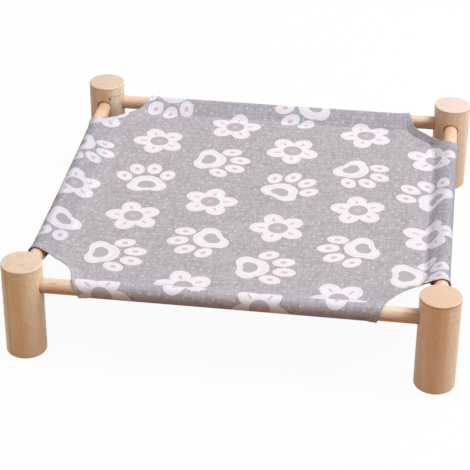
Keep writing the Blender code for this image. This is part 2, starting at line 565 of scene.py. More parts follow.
def weave_group() -> bpy.types.NodeTree:
    """Weave a plain cloth over flat coordinates in millimetres.

    Returns:
        A group that puts out the yarns' height and a slow heathered tone.
    """
    group = Group("plain_weave", "Vector", "Pitch")
    place, pitch = group.takes
    x, y, _ = place.split()
    half_turn = math.pi / pitch
    warp, weft = (x * half_turn).run("SINE"), (y * half_turn).run("SINE")
    over = (warp * weft).run("SIGN").line(0.5, 0.5)
    streaks = [
        yarn.noise(0.55, 3.0, 0.7) for yarn in (
            group.join(x * 0.16, y, 3.0), group.join(x, y * 0.16, 8.0))]
    return group.give(
        Height=warp.run("ABSOLUTE") * over + weft.run("ABSOLUTE") * (1.0 - over),
        Heather=(streaks[0] + streaks[1]) * 0.5)


def pin_dot_group() -> bpy.types.NodeTree:
    """Scatter pin dots on a lattice with staggered rows, in millimetres.

    Returns:
        A group that puts out the dots' mask.
    """
    pitch, soft = 9.0, 0.25
    group = Group("pin_dots", "Vector")
    u, v, _ = (group.takes[0] / (pitch, pitch, 1.0)).split()
    row = v.run("FLOOR")
    u = u + row.run("FLOORED_MODULO", 2.0) * 0.5
    column = u.run("FLOOR")
    number, nudge = group.chance(column, row)
    local = group.join(u - column - 0.5, v - row - 0.5)
    away = (local - nudge * (0.55, 0.55, 0.0)).run("LENGTH") * pitch
    radius = number.line(0.5, 0.75)
    return group.give(Dots=away.step(radius + soft, radius - soft) * number.line(0.6, 0.4))


def oval(
    place: Wire, middle: tuple[float, float], radii: tuple[float, float], turn: float = 0.0
) -> Wire:
    """Measure how far a place is from an oval's middle, as a share of its radii.

    Args:
        place: the vector, in millimetres.
        middle: the oval's middle.
        radii: its two radii.
        turn: its turn in degrees.

    Returns:
        A number that is 1 on the oval's edge.
    """
    away = place - (*middle, 0.0)
    if turn:
        away = away.spin(math.radians(-turn))
    return (away / (*radii, 1.0)).run("LENGTH")


INKS = ("White", "Line", "Grey", "Pink")


def paw_group() -> bpy.types.NodeTree:
    """Draw one paw print about its middle, in millimetres.

    Returns:
        A group that puts out the masks of its white pads, the line drawn inside their edge,
        the grey patch in the large pad and the pink spots in the toes.
    """
    group = Group("paw_print", "Vector")
    x, y, _ = group.takes[0].split()
    folded = group.join(x.run("ABSOLUTE"), y)
    pad = oval(folded, (0.0, -9.0), (13.5, 12.5)).run(
        "SMOOTH_MIN", oval(folded, (8.0, -14.5), (9.0, 8.0), 12.0), 0.18)
    toe = oval(folded, (18.5, 3.5), (6.2, 8.6), -24.0).run(
        "MINIMUM", oval(folded, (7.4, 14.8), (6.4, 9.0), -8.0))
    patch = oval(folded, (0.0, -11.0), (7.0, 5.6)).run(
        "SMOOTH_MIN", oval(folded, (3.4, -13.0), (4.6, 4.2), 20.0), 0.1)
    shape = pad.run("MINIMUM", toe)
    return group.give(
        White=shape.step(1.03, 0.97), Line=(shape - 0.78).run("ABSOLUTE").step(0.06, 0.03),
        Grey=patch.step(1.06, 0.94), Pink=toe.step(0.33, 0.25))


def blossom_group() -> bpy.types.NodeTree:
    """Draw one five-petalled blossom about its middle, in millimetres.

    Returns:
        A group that puts out the masks of its white petals, the line drawn inside their edge,
        the grey ring and the pink heart and petal strokes.
    """
    petals = 5.0
    group = Group("blossom", "Vector")
    x, y, _ = group.takes[0].split()
    away = group.join(x, y).run("LENGTH")
    wave = (y.run("ARCTAN2", x) * petals).run("COSINE")
    edge = wave.line(0.5, 0.5).run("POWER", 0.45).line(9.5, 13.5)
    stroke = wave.step(0.90, 0.98) * (away.step(10.4, 11.0) * away.step(16.2, 15.4))
    return group.give(
        White=away.step(edge + 0.4, edge - 0.4),
        Line=(edge - away - 2.2).run("ABSOLUTE").step(0.5, 0.25),
        Grey=away.step(8.4, 7.8), Pink=stroke.run("MAXIMUM", away.step(2.8, 2.2)))


def toss_group() -> bpy.types.NodeTree:
    """Toss motifs over the cloth in half-drop columns, in millimetres.

    Returns:
        A group that puts out the place within a motif, X and Y, and which motif it is.
    """
    across, along, size = 76.0, 84.0, 1.27
    group = Group("tossed_layout", "Vector")
    x, y, _ = group.takes[0].split()
    u = x / across
    column = u.run("FLOOR")
    v = y / along + column.run("FLOORED_MODULO", 2.0) * 0.5
    row = v.run("FLOOR")
    number, nudge = group.chance(column, row)
    near = group.join((u - column - 0.5) * across, (v - row - 0.5) * along)
    turn = (number - 0.5) * 1.6 + row * 2.1
    x, y, _ = ((near - nudge * (7.0, 9.0, 0.0)).spin(turn) / (size, size, 1.0)).split()
    return group.give(X=x, Y=y, Pick=(column + row).run("FLOORED_MODULO", 2.0))


class Groups:
    """The shader node groups, each built once."""

    def __init__(self) -> None:
        """Build the groups."""
        self.grain, self.knot = grain_group(), knot_group()
        self.weave, self.dots = weave_group(), pin_dot_group()
        self.paw, self.blossom, self.toss = paw_group(), blossom_group(), toss_group()


class Finish(Board):
    """The nodes of a new material with a Principled shader."""

    def __init__(self, name: str) -> None:
        """Start the material.

        Args:
            name: its name.
        """
        self.material = bpy.data.materials.new(name)
        self.material.use_nodes = True
        super().__init__(self.material.node_tree)

    def where(self) -> Wire:
        """Return the Object coordinates."""
        return self.wire("ShaderNodeTexCoord", output="Object")

    def dress(
        self, colour: Wire, relief: Wire, bump: tuple[float, float], **values: Any
    ) -> bpy.types.Material:
        """Join a colour and a relief to the shader.

        Args:
            colour: the base colour.
            relief: the height that the bump follows.
            bump: the bump's strength and its depth in metres.
            **values: the shader's other inputs by name, with _ for each space.

        Returns:
            The material.
        """
        strength, depth = bump
        normal = self.wire(
            "ShaderNodeBump", {"Strength": strength, "Distance": depth, "Height": relief})
        shader = self.tree.nodes["Principled BSDF"]
        for name, value in dict(values, Base_Color=colour, Normal=normal).items():
            self.feed(shader.inputs[name.replace("_", " ")], value)
        return self.material


def coated(colour: Wire, *coats: tuple[Wire, Any]) -> Wire:
    """Lay coats over a colour.

    Args:
        colour: the colour beneath.
        *coats: the share and the tone of each.

    Returns:
        The colour on top.
    """
    for share, tone in coats:
        colour = share.mix(colour, tone)
    return colour


def shade(tone: Triple, share: float) -> Triple:
    """Return a tone times a share."""
    return tuple(share * part for part in tone)


# Finishes


@dataclass(frozen=True)
class KnotAndShadowFleck:
    """A knot, a dark fleck, and in places a patch of painted shadow: its centre in the bed's axes
    and its radius, in millimetres.

    `stretch` is under 1 along the axes that the fleck is drawn out along.
    """

    centre: Triple
    radius: float
    depth: float = 0.80
    stretch: Triple = (1.0, 1.0, 0.72)


@dataclass(frozen=True)
class ToneAndLightSlab:
    """A slab in another tone that runs through a stick between two planes, square to `facing`.

    `start` and `width` are in millimetres from the bed's origin along it. Without a tint it is
    the orange of resin-rich heartwood. Some slabs are other wood, and some are painted light and
    painted shade, laid where the light falls on the posts and dowels.
    """

    facing: Triple
    start: float
    width: float
    depth: float = 0.5
    soft: float = 1.5
    tint: Triple | None = None

    def share(self, place: Wire, fibres: Wire) -> Wire:
        """Return the slab's share of the colour, its faces frayed by the fibres.

        Args:
            place: the place in the bed's axes, in millimetres.
            fibres: the fine fibres.

        Returns:
            The share.
        """
        reach = place.run("DOT_PRODUCT", self.facing) + fibres.line(5.0, -2.5)
        end, soft = self.start + self.width, self.soft
        slab = reach.step(self.start - soft, self.start + soft) * reach.step(
            end + soft, end - soft)
        return slab * self.depth


@dataclass(frozen=True)
class SawnEnd:
    """The sawn top of a post: its height in metres, its two tones, how much its marks show, and
    its painted shade line and rim highlight.
    """

    height: float = 0.100
    pale: Triple = (0.86, 0.690, 0.575)
    dark: Triple = (0.74, 0.560, 0.440)
    rings: float = 0.10
    pores: float = 0.30
    rub: float = 0.30
    # line: how dark a painted shade line just under the rounded upper rim is.
    line: float = 0.25
    # rim: the tone of a painted highlight along the rounded upper rim.
    rim: Triple = (0.97, 0.90, 0.80)


@dataclass(frozen=True)
class BareWood:
    """Sanded bare pine, cut from one stick with its pith along an axis.

    The pith is the place, in millimetres from the bed's origin, that the rings grow round.
    """

    name: str
    pith: Triple
    lean: Triple
    pale: Triple
    late: Triple
    ring_width: float
    seed: float
    orange: Triple = (0.800, 0.430, 0.165)
    deep: Triple = (0.300, 0.150, 0.070)
    wander: float = 4.0
    tone_depth: float = 0.70
    ring_depth: float = 0.30
    streak_depth: float = 0.55
    orange_depth: float = 0.30
    pale_depth: float = 0.35
    speck_depth: float = 0.34
    mottle_depth: float = 0.34
    knots_and_shadow_flecks: tuple[KnotAndShadowFleck, ...] = ()
    tone_and_light_slabs: tuple[ToneAndLightSlab, ...] = ()
    sawn: SawnEnd | None = None

    def material(self, groups: Groups) -> bpy.types.Material:
        """Make the wood's material.

        Args:
            groups: the shader node groups.

        Returns:
            The material.
        """
        board = Finish(self.name)
        where = board.where()
        plain = where * TO_MM
        place = board.wire("ShaderNodeMapping", {
            "Vector": plain, "Location": self.pith,
            "Rotation": [math.radians(angle) for angle in self.lean]}, vector_type="TEXTURE")
        marks = []
        for knot in self.knots_and_shadow_flecks:
            core, swirl = board.group(
                groups.knot, Vector=plain, Centre=knot.centre, Radius=knot.radius,
                Stretch=knot.stretch)
            marks.append((core * knot.depth, self.deep))
            push = swirl * (2.6 * min(knot.radius, 3.0))
            place = place + board.join(push, push)
        rings, fibres, tone, flame, speck = board.group(
            groups.grain, Vector=place, Ring_Width=self.ring_width, Wander=self.wander,
            Seed=self.seed)
        mottle = (plain * (1.0, 1.0, 0.6)).noise(0.46, 4.0, 0.72)
        colour = coated(
            (tone.step(0.32, 0.66) * self.tone_depth).mix(self.pale, self.late),
            *((tinted_slab.share(plain, fibres), tinted_slab.tint or self.orange) for tinted_slab in self.tone_and_light_slabs),
            (rings * self.ring_depth, self.late),
            (flame.step(0.55, 0.72) * self.orange_depth, self.orange),
            (fibres.step(0.50, 0.74) * self.streak_depth, shade(self.late, 0.88)),
            (fibres.step(0.47, 0.30) * self.pale_depth, self.pale),
            (mottle.step(0.50, 0.64) * self.mottle_depth, self.orange),
            (mottle.step(0.47, 0.34) * self.mottle_depth, self.pale),
            (speck * self.speck_depth, self.deep))
        if self.sawn is not None:
            colour = self.cut_end(where, rings, colour)
        return board.dress(
            coated(colour, *marks), rings * -0.45 + fibres - speck * 0.8, (0.40, 0.00020),
            Roughness=fibres.line(0.20, 0.33), Specular_IOR_Level=0.40)

    def cut_end(self, where: Wire, rings: Wire, colour: Wire) -> Wire:
        """Paint a thin line of shade under a post's upper rim and a highlight along the rim, and
        mark the ripples below it and the sawn top.

        Args:
            where: the Object coordinates.
            rings: the growth rings.
            colour: the wood's colour.

        Returns:
            The new colour.
        """
        sawn, plain = self.sawn, where * TO_MM
        _, _, height = where.split()

        def above(low: float, high: float) -> Wire:
            """Return 0 at one depth under the post's top and 1 at another, in millimetres."""
            return height.step(sawn.height - low * MM, sawn.height - high * MM)

        ripple = (where * (45.0, 45.0, 620.0)).noise(1.0, 3.0, 0.6)
        face = coated(
            (plain.noise(0.55, 3.0, 0.70).step(0.42, 0.68) * sawn.pores).mix(
                sawn.pale, sawn.dark),
            (plain.noise(0.13).step(0.45, 0.70) * 0.35, sawn.dark),
            (rings * sawn.rings, self.late))
        return coated(
            colour,
            # Painted shade: a thin dark line just under the rounded rim.
            (above(3.4, 2.0) * above(0.7, 1.2) * sawn.line, self.deep),
            (ripple.step(0.50, 0.64) * above(34.0, 3.0) * sawn.rub, shade(self.late, 0.66)),
            # Painted highlight along the rounded rim.
            (above(1.1, 0.8) * above(0.1, 0.3) * 0.8, sawn.rim),
            (above(0.4, 0.1) * 0.92, face))


@dataclass(frozen=True)
class PaintedSleeveShading:
    """A tint past a place along one way of the flat cloth, in millimetres: painted shade where it
    darkens a sleeve, painted light where it lightens one.
    """

    way: Triple
    start: float
    tint: Triple
    ease: float = 1.5


@dataclass(frozen=True)
class PrintedCotton:
    """The cover's cotton: a warm grey ground with white, pale grey and pink print."""

    ground: Triple = (0.475, 0.461, 0.500)
    white: Triple = (0.895, 0.885, 0.945)
    grey: Triple = (0.505, 0.496, 0.530)
    pink: Triple = (0.795, 0.520, 0.590)
    dot: Triple = (0.740, 0.715, 0.760)
    back: Triple = (0.560, 0.520, 0.515)
    # Painted light and shade on the sleeves: the left, right and back sleeves painted darker, the
    # front one painted lighter, and the outer left roll and the underside of the front roll
    # painted darker still.
    sleeves: tuple[PaintedSleeveShading, ...] = (
        PaintedSleeveShading((-1.0, 0.0, 0.0), 180.0, (0.845, 0.865, 0.900)),
        PaintedSleeveShading((-1.0, 0.0, 0.0), 203.0, (0.900, 0.900, 0.905), 3.0),
        PaintedSleeveShading((1.0, 0.0, 0.0), 180.0, (0.845, 0.865, 0.900)),
        PaintedSleeveShading((0.0, 1.0, 0.0), 180.0, (0.930, 0.950, 0.985)),
        PaintedSleeveShading((0.0, -1.0, 0.0), 180.0, (1.000, 1.020, 1.045)),
        PaintedSleeveShading((0.0, -1.0, 0.0), 214.5, (0.870, 0.840, 0.840), 3.0))
    pitch: float = 0.62
    shift: Triple = (8.0, 10.0, 0.0)

    def start(self, name: str, groups: Groups) -> tuple[Finish, Wire, Wire, Wire, dict[str, Wire]]:
        """Start a material with the weave and the print laid over the flat cloth.

        Args:
            name: the material's name.
            groups: the shader node groups.

        Returns:
            The material's board, the place in the flat cloth in millimetres, the weave's
            height and heather, and the masks of the inks and the Dots.
        """
        board = Finish(name)
        flat = board.wire("ShaderNodeUVMap", uv_map=FLAT_MAP) * (1000.0, 1000.0, 1.0)
        height, heather = board.group(groups.weave, Vector=flat, Pitch=self.pitch)
        x, y, pick = board.group(groups.toss, Vector=flat + self.shift)
        near = board.join(x, y)
        paw, blossom = (
            board.group(motif, Vector=near) for motif in (groups.paw, groups.blossom))
        masks = {
            ink: first * (1.0 - pick) + second * pick
            for ink, first, second in zip(INKS, paw, blossom)}
        masks["Dots"] = board.group(groups.dots, Vector=flat)[0]
        return board, flat, height, heather, masks

    def front_material(self, groups: Groups) -> bpy.types.Material:
        """Make the material of the printed face, with painted light and shade on the sleeves.

        Args:
            groups: the shader node groups.

        Returns:
            The material.
        """
        board, flat, height, heather, masks = self.start("printed_cotton", groups)
        colour = coated(
            heather.step(0.38, 0.62).mix(shade(self.ground, 0.83), shade(self.ground, 1.17)),
            (masks["Dots"], self.dot), (masks["White"], self.white),
            (masks["Line"] * 0.5, self.dot), (masks["Grey"], self.grey),
            (masks["Pink"], self.pink),
            # Painted shade in the hollows between the yarns.
            (height.step(0.45, 0.05) * 0.30, shade(self.ground, 0.55)))
        # Lay each sleeve's painted light and shade over the colour.
        for tone in self.sleeves:
            past = flat.run("DOT_PRODUCT", tone.way).step(
                tone.start - tone.ease, tone.start + tone.ease)
            colour = past.mix(colour, tone.tint, "MULTIPLY")
        return self.finish(board, colour, height)

    def back_material(self, groups: Groups) -> bpy.types.Material:
        """Make the material of the unprinted face, where the print shows through faintly.

        Args:
            groups: the shader node groups.

        Returns:
            The material.
        """
        board, _, height, heather, masks = self.start("cotton_back", groups)
        colour = coated(
            heather.step(0.36, 0.64).mix(shade(self.back, 0.92), shade(self.back, 1.08)),
            (masks["White"] * 0.5, self.white), (masks["Grey"] * 0.3, self.back),
            (masks["Pink"] * 0.25, self.pink))
        return self.finish(board, colour, height)

    @staticmethod
    def finish(board: Finish, colour: Wire, height: Wire) -> bpy.types.Material:
        """Give a cotton material its matt surface, with the weave as its relief.

        Args:
            board: the material's board.
            colour: the cloth's colour.
            height: the weave's height.

        Returns:
            The material.
        """
        return board.dress(
            colour, height, (0.30, 0.00012), Roughness=0.92, Specular_IOR_Level=0.18,
            Sheen_Weight=0.08, Sheen_Roughness=0.55)


@dataclass(frozen=True)
class SewingThread:
    """Spun thread with a two-ply twist: pale grey, or nearly white for the hems."""

    name: str = "seam_thread"
    colour: Triple = (0.640, 0.630, 0.680)

    def material(self) -> bpy.types.Material:
        """Make the thread's material.

        Returns:
            The material.
        """
        board = Finish(self.name)
        x, y, z = (board.where() * TO_MM).split()
        ply = ((x + y + z * 1.4) * 11.0).run("SINE")
        colour = ply.line(0.12, 0.13).mix(self.colour, shade(self.colour, 0.55))
        return board.dress(
            colour, ply, (0.4, 0.00008), Roughness=0.7, Specular_IOR_Level=0.25)


# Wooden pieces


@dataclass
class Frame:
    """Sizes of the wooden frame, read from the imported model's boxes where it has them."""

    posts: np.ndarray = field(init=False)
    post_radius: float = field(init=False)
    post_height: float = field(init=False)
    dowel_height: float = field(init=False)
    dowel_radius: float = field(init=False)
    dowel_end: float = field(init=False)
    socket_wall: float = 0.0017
    socket_play: float = 0.0008
    contact_gap: float = 0.0003
    top_round: float = 0.0012
    foot_round: float = 0.0020
    dowel_round: float = 0.0010
    socket_ease: float = 0.0003
    bows: dict[Side, float] = field(default_factory=lambda: {
        Side.FRONT: 0.0004, Side.BACK: 0.0006, Side.LEFT: 0.0018, Side.RIGHT: 0.0002})

    def __post_init__(self) -> None:
        """Read the posts' and dowels' places."""
        low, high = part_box("post_front_right")
        self.posts = np.array([(low.x + high.x) / 2, -(low.y + high.y) / 2])
        self.post_radius, self.post_height = (high.x - low.x) / 2, high.z
        low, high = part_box("dowel_front")
        self.dowel_height, self.dowel_radius = (low.z + high.z) / 2, (high.z - low.z) / 2
        self.dowel_end = high.x

    def bow(self, side: Side, along: float | np.ndarray) -> float | np.ndarray:
        """Return how far a dowel bows in towards the middle, pulled by the cover.

        Args:
            side: the dowel's side.
            along: place along the dowel, from its middle.

        Returns:
            The distance inwards.
        """
        share = np.clip(along / self.posts[1 - side.axis], -1.0, 1.0)
        return self.bows[side] * (1 - share ** 2)

    @property
    def socket_radius(self) -> float:
        """Radius of a post's sockets."""
        return self.dowel_radius + self.socket_play

    @property
    def socket_floor(self) -> float:
        """Distance of a socket's floor from its post's axis."""
        return self.socket_radius + self.socket_wall

    @property
    def socket_height(self) -> float:
        """Height of a socket's axis, in which the dowel rests at the bottom."""
        return self.dowel_height + self.socket_play - self.contact_gap


@dataclass
class RoundPost:
    """One post: a turned bar with rounded rims and two blind sockets."""

    corner: Corner
    frame: Frame
    wood: BareWood
    sides: int = 96
    rim_steps: int = 5
    socket_sides: int = 64
    mouth_steps: int = 2
    mouth_angle: float = 0.6
    inside_slack: float = 0.0003
    level_slack: float = 0.0001
    overrun: float = 0.005

    @property
    def middle(self) -> np.ndarray:
        """The post's axis."""
        return self.corner.signs * self.frame.posts

    def build(self, groups: Groups) -> bpy.types.Object:
        """Turn the post, drill its sockets and dress it.

        Args:
            groups: the shader node groups.

        Returns:
            The post.
        """
        frame, half = self.frame, self.frame.post_height / 2
        post = turned_bar(
            f"turned_post_{self.corner.word}", self.sides, frame.post_radius,
            frame.post_height, (*self.middle, half), 2)
        for level, width in ((half, frame.top_round), (-half, frame.foot_round)):
            bevel(post, lambda edge: all(
                abs(vert.co.z - level) < SAME_LEVEL for vert in edge.verts),
                width, self.rim_steps)
        settle(post)
        for axis in (0, 1):
            self.drill(post, axis)
        bevel(post, self.on_mouth, frame.socket_ease, self.mouth_steps, clamp=True)
        settle(post)
        smooth_faces(post, 30.0)
        post.data.materials.clear()
        post.data.materials.append(self.wood.material(groups))
        return hand_over(post, f"post_{self.corner.word}")

    def drill(self, post: bpy.types.Object, axis: int) -> None:
        """Cut the socket that opens towards the bed's middle.

        Args:
            post: the post.
            axis: the axis that the socket lies along, 0 for X and 1 for Y.
        """
        frame = self.frame
        length = frame.post_radius + self.overrun - frame.socket_floor
        middle = [*self.middle, frame.socket_height]
        middle[axis] -= self.corner.signs[axis] * (frame.socket_floor + length / 2)
        cutter = turned_bar(
            "socket_cutter", self.socket_sides, frame.socket_radius, length, middle, axis)
        apply_modifier(
            post, "socket", "BOOLEAN", operation="DIFFERENCE", solver="EXACT", object=cutter)
        bpy.data.objects.remove(cutter, do_unlink=True)

    def on_mouth(self, edge: Any) -> bool:
        """Say whether an edge is where a socket meets the post's side.

        Args:
            edge: a bmesh edge of the drilled post.

        Returns:
            True if it is.
        """
        frame = self.frame
        if len(edge.link_faces) != 2 or edge.calc_face_angle(0.0) < self.mouth_angle:
            return False
        return all(
            math.dist(vert.co.xy, self.middle) >= frame.post_radius - self.inside_slack
            and abs(vert.co.z - frame.socket_height) <= (
                frame.socket_radius + self.level_slack)
            for vert in edge.verts)


@dataclass
class Dowel:
    """One dowel: a round bar with broken edges at its ends, bowed in by the cover."""

    side: Side
    frame: Frame
    wood: BareWood
    sides: int = 64
    rim_steps: int = 3
    bends: int = 11

    def build(self, groups: Groups) -> bpy.types.Object:
        """Turn the dowel and dress it.

        Args:
            groups: the shader node groups.

        Returns:
            The dowel.
        """
        frame, axis = self.frame, self.side.axis
        middle = [0.0, 0.0, frame.dowel_height]
        middle[axis] = self.side.sign * frame.posts[axis]
        dowel = turned_bar(
            f"turned_dowel_{self.side.word}", self.sides, frame.dowel_radius,
            2 * frame.dowel_end, middle, 1 - axis)
        bevel(dowel, lambda edge: abs(
            abs(sum(vert.co.z for vert in edge.verts) / 2) - frame.dowel_end) < SAME_LEVEL,
            frame.dowel_round, self.rim_steps)
        settle(dowel)
        smooth_faces(dowel, 30.0)
        self.bend(dowel)
        dowel.data.materials.clear()
        dowel.data.materials.append(self.wood.material(groups))
        return hand_over(dowel, f"dowel_{self.side.word}")

    def bend(self, dowel: bpy.types.Object) -> None:
        """Cut the dowel into rings and push each one in by its share of the bow.

        Args:
            dowel: the dowel, with its place in its mesh.
        """
        along, same_ring, long_edge = 1 - self.side.axis, 2e-5, 0.1
        select_parts(dowel, "EDGE", lambda edge: abs(
            edge.verts[0].co[along] - edge.verts[1].co[along]) > long_edge)
        bpy.ops.mesh.subdivide(number_cuts=self.bends)
        cage = bmesh.from_edit_mesh(dowel.data)
        for place in sorted({round(vert.co[along], 5) for vert in cage.verts}):
            select_parts(dowel, "VERT", lambda vert: abs(vert.co[along] - place) < same_ring)
            push = [0.0, 0.0, 0.0]
            push[self.side.axis] = -self.side.sign * float(self.frame.bow(self.side, place))
            bpy.ops.transform.translate(value=push)
        bpy.ops.object.mode_set(mode="OBJECT")


# Cloth

HEM_ROWS = (0.0017, 0.0062)


@dataclass(frozen=True)
class MouthSlide:
    """How far a sleeve's mouth has slid towards its post, on the dowel's top and below."""

    on_top: float
    below: float


@dataclass(frozen=True)
class SeamPull:
    """How far a seam is pulled down by the panel's tension, and out towards its dowel."""

    down: float
    out: float


@dataclass(frozen=True)
class HemRise:
    """How high a corner's stretched hem stands, and how much of that its band falls."""

    height: float
    share: float = 0.95
    band: float = 0.0078


@dataclass(frozen=True)
class Wave:
    """A slow wave of the panel: its turns along s and t, its start and its share."""

    along_s: float
    along_t: float
    start: float
    share: float


def smooth(value: np.ndarray, low: float, high: float) -> np.ndarray:
    """Rise smoothly from 0 to 1.

    Args:
        value: the numbers that are compared.
        low: where the result is 0.
        high: where the result is 1.

    Returns:
        The results.
    """
    share = np.clip((value - low) / (high - low), 0.0, 1.0)
    return share * share * (3 - 2 * share)


def unit(rows: np.ndarray) -> np.ndarray:
    """Return rows of vectors scaled to a length of 1."""
    return rows / np.linalg.norm(rows, axis=1, keepdims=True)


def pair(axis: int, first: np.ndarray, second: np.ndarray) -> np.ndarray:
    """Return places (s, t) from their parts along an axis and across it."""
    return np.stack([first, second] if axis == 0 else [second, first], 1)


@dataclass
class CoverCut:
    """The cover's cut, and the way from its flat cloth to the made-up bed.

    A place in the flat cloth is (s, t), in metres from the cover's middle. Within the four
    seams it lies on the panel, and beyond a seam it runs over the dowel and back underneath.
    Many methods take `flat`, rows of such places. The slides grow and change between the
    lengths of cloth from the seam in `slide_top` and `slide_below`, the pulls fade over the
    distances from a mouth in `pull_end`, and the hem's step lies over `hem_edge`, about its
    band's inner edge. The grooves are where rows of stitches sink in.
    """

    frame: Frame
    sag: float = 0.0040
    seam_inset: float = 0.020
    seam_allowance: float = 0.008
    mouth_setback: float = 0.045
    mouth_draw_in: float = 0.013
    corner_bow: float = 0.0028
    wrap_radius: float = 0.0083
    layer_step: float = 0.00165
    crease: float = 0.0014
    curl: float = 0.0008
    curl_reach: float = 0.0036
    hem_band: float = 0.0078
    band_ease: float = 0.0050
    near_corner: float = 0.105
    slide_reach: float = 0.085
    slide_top: tuple[float, float] = (-0.012, 0.014)
    slide_below: tuple[float, float] = (0.018, 0.042)
    raised: dict[Corner, HemRise] = field(default_factory=lambda: {
        Corner.FRONT_LEFT: HemRise(0.0030), Corner.FRONT_RIGHT: HemRise(0.0044),
        Corner.BACK_LEFT: HemRise(0.0042), Corner.BACK_RIGHT: HemRise(0.0054, 1.12, 0.0050)})
    pulls: dict[Side, SeamPull] = field(default_factory=lambda: {
        Side.FRONT: SeamPull(0.0008, 0.0005), Side.BACK: SeamPull(0.0020, -0.0005),
        Side.LEFT: SeamPull(-0.0018, 0.0005), Side.RIGHT: SeamPull(0.0024, 0.0038)})
    pull_reach: float = 0.0110
    pull_outside: float = 0.75
    pull_end: tuple[float, float] = (0.030, 0.004)
    slides: dict[tuple[Side, int], MouthSlide] = field(default_factory=lambda: {
        (Side.FRONT, -1): MouthSlide(0.0040, -0.0015),
        (Side.FRONT, 1): MouthSlide(0.0, -0.0030),
        (Side.BACK, 1): MouthSlide(0.0045, 0.0030),
        (Side.LEFT, -1): MouthSlide(-0.0015, -0.0015),
        (Side.LEFT, 1): MouthSlide(-0.0085, -0.0070),
        (Side.RIGHT, -1): MouthSlide(-0.0025, -0.0025),
        (Side.RIGHT, 1): MouthSlide(-0.0085, -0.0070)})
    pucker: float = 0.00016
    pucker_reach: float = 0.0060
    pucker_lengths: tuple[float, float] = (0.0117, 0.0173)
    dimple: float = 0.00022
    hem_step: float = 0.00045
    hem_edge: tuple[float, float] = (-0.0006, 0.0010)
    pinch: float = 0.0085
    pinch_reach: float = 0.030
    hem_dimple: float = 0.00030
    hem_groove: float = 0.0008
    seam_groove: float = 0.0009
    stitch_inset: float = 0.0014
    wave_height: float = 0.00028
    waves: tuple[Wave, ...] = (
        Wave(38, 11, 0.4, 1.0), Wave(-17, 45, 1.9, 0.8), Wave(71, 63, 0.0, 0.5))

    @property
    def seam(self) -> np.ndarray:
        """Distance of the seams from the middle, along X and along Y."""
        return self.frame.posts - self.seam_inset

    @property
    def slope(self) -> float:
        """Angle at which a sleeve rises from its seam."""
        return math.asin(self.wrap_radius / self.seam_inset)

    @property
    def tangent(self) -> float:
        """Length of cloth from a seam to where it meets the dowel's circle."""
        return math.sqrt(self.seam_inset ** 2 - self.wrap_radius ** 2)

    @property
    def leaving(self) -> float:
        """Angle of the cloth's outward normal where it leaves the dowel's circle."""
        return (-math.pi + math.atan2(self.layer_step, self.seam_inset)
                + math.acos(self.wrap_radius / math.hypot(self.seam_inset, self.layer_step)))

    @property
    def turn(self) -> float:
        """Angle that the cloth turns through round the dowel."""
        return QUARTER_TURN + self.slope - self.leaving

    @property
    def arc_end(self) -> float:
        """Length of cloth from a seam to where it leaves the dowel's circle."""
        return self.tangent + self.turn * self.wrap_radius

    @property
    def under_length(self) -> float:
        """Length of cloth from the dowel's underside back to the seam."""
        return math.sqrt(
            self.seam_inset ** 2 + self.layer_step ** 2 - self.wrap_radius ** 2)

    @property
    def seam_again(self) -> float:
        """Length of cloth from a seam round the dowel and back to it."""
        return self.arc_end + self.under_length

    @property
    def sleeve_length(self) -> float:
        """Length of cloth beyond a seam, with its allowance."""
        return self.seam_again + self.seam_allowance

    @property
    def half_size(self) -> np.ndarray:
        """Half the flat cloth's size along X and along Y."""
        return self.seam + self.sleeve_length

    def corner_arc(self) -> tuple[float, float, float]:
        """Work out the arc of a corner cut.

        Returns:
            Its centre's distance from the post along X and Y, its radius and its half angle.
        """
        half_chord = (self.mouth_setback - self.seam_inset) / math.sqrt(2)
        radius = (half_chord ** 2 + self.corner_bow ** 2) / (2 * self.corner_bow)
        middle = (self.mouth_setback + self.seam_inset) / 2
        centre = middle - (radius - self.corner_bow) / math.sqrt(2)
        return centre, radius, math.asin(half_chord / radius)

    def half_mouth(self, axis: int, along: np.ndarray) -> np.ndarray:
        """Return half a sleeve's length.

        Args:
            axis: the axis that points outwards there.
            along: lengths of cloth from the sleeve's seam.

        Returns:
            Half the sleeve's length at each.
        """
        rise = math.tan(math.pi / 4 - self.corner_arc()[2])
        draw_in = self.mouth_draw_in * (1 - np.exp(-along * rise / self.mouth_draw_in))
        return self.frame.posts[1 - axis] - self.mouth_setback - draw_in

    def half_row(self, across: float) -> float:
        """Return half the width of a row of the panel, up to the seam or the corner cut.

        Args:
            across: the row's distance from the cover's middle.

        Returns:
            Half the row's width.
        """
        gap, same = self.frame.posts[1] - abs(across), 1e-9
        if gap > self.mouth_setback - same:
            return self.seam[0]
        centre, radius, _ = self.corner_arc()
        return self.frame.posts[0] - centre - math.sqrt(radius ** 2 - (gap - centre) ** 2)

    def outline(self, steps: int = 60) -> np.ndarray:
        """Trace the cut edge of one corner, in the quarter where s and t are positive.

        Args:
            steps: points along each of its three parts.

        Returns:
            Points (s, t) from the right sleeve's flap to the back sleeve's flap.
        """
        along = np.linspace(self.sleeve_length, 0.0, steps)
        right, back = (
            pair(axis, self.seam[axis] + along, self.half_mouth(axis, along))
            for axis in (0, 1))
        centre, radius, half = self.corner_arc()
        angle = (math.pi / 4 + half * np.linspace(-1, 1, steps))[::-1]
        arc = self.frame.posts - centre - radius * np.stack(
            [np.cos(angle), np.sin(angle)], 1)
        return np.concatenate([right[:-1], arc[:-1], back[::-1]])

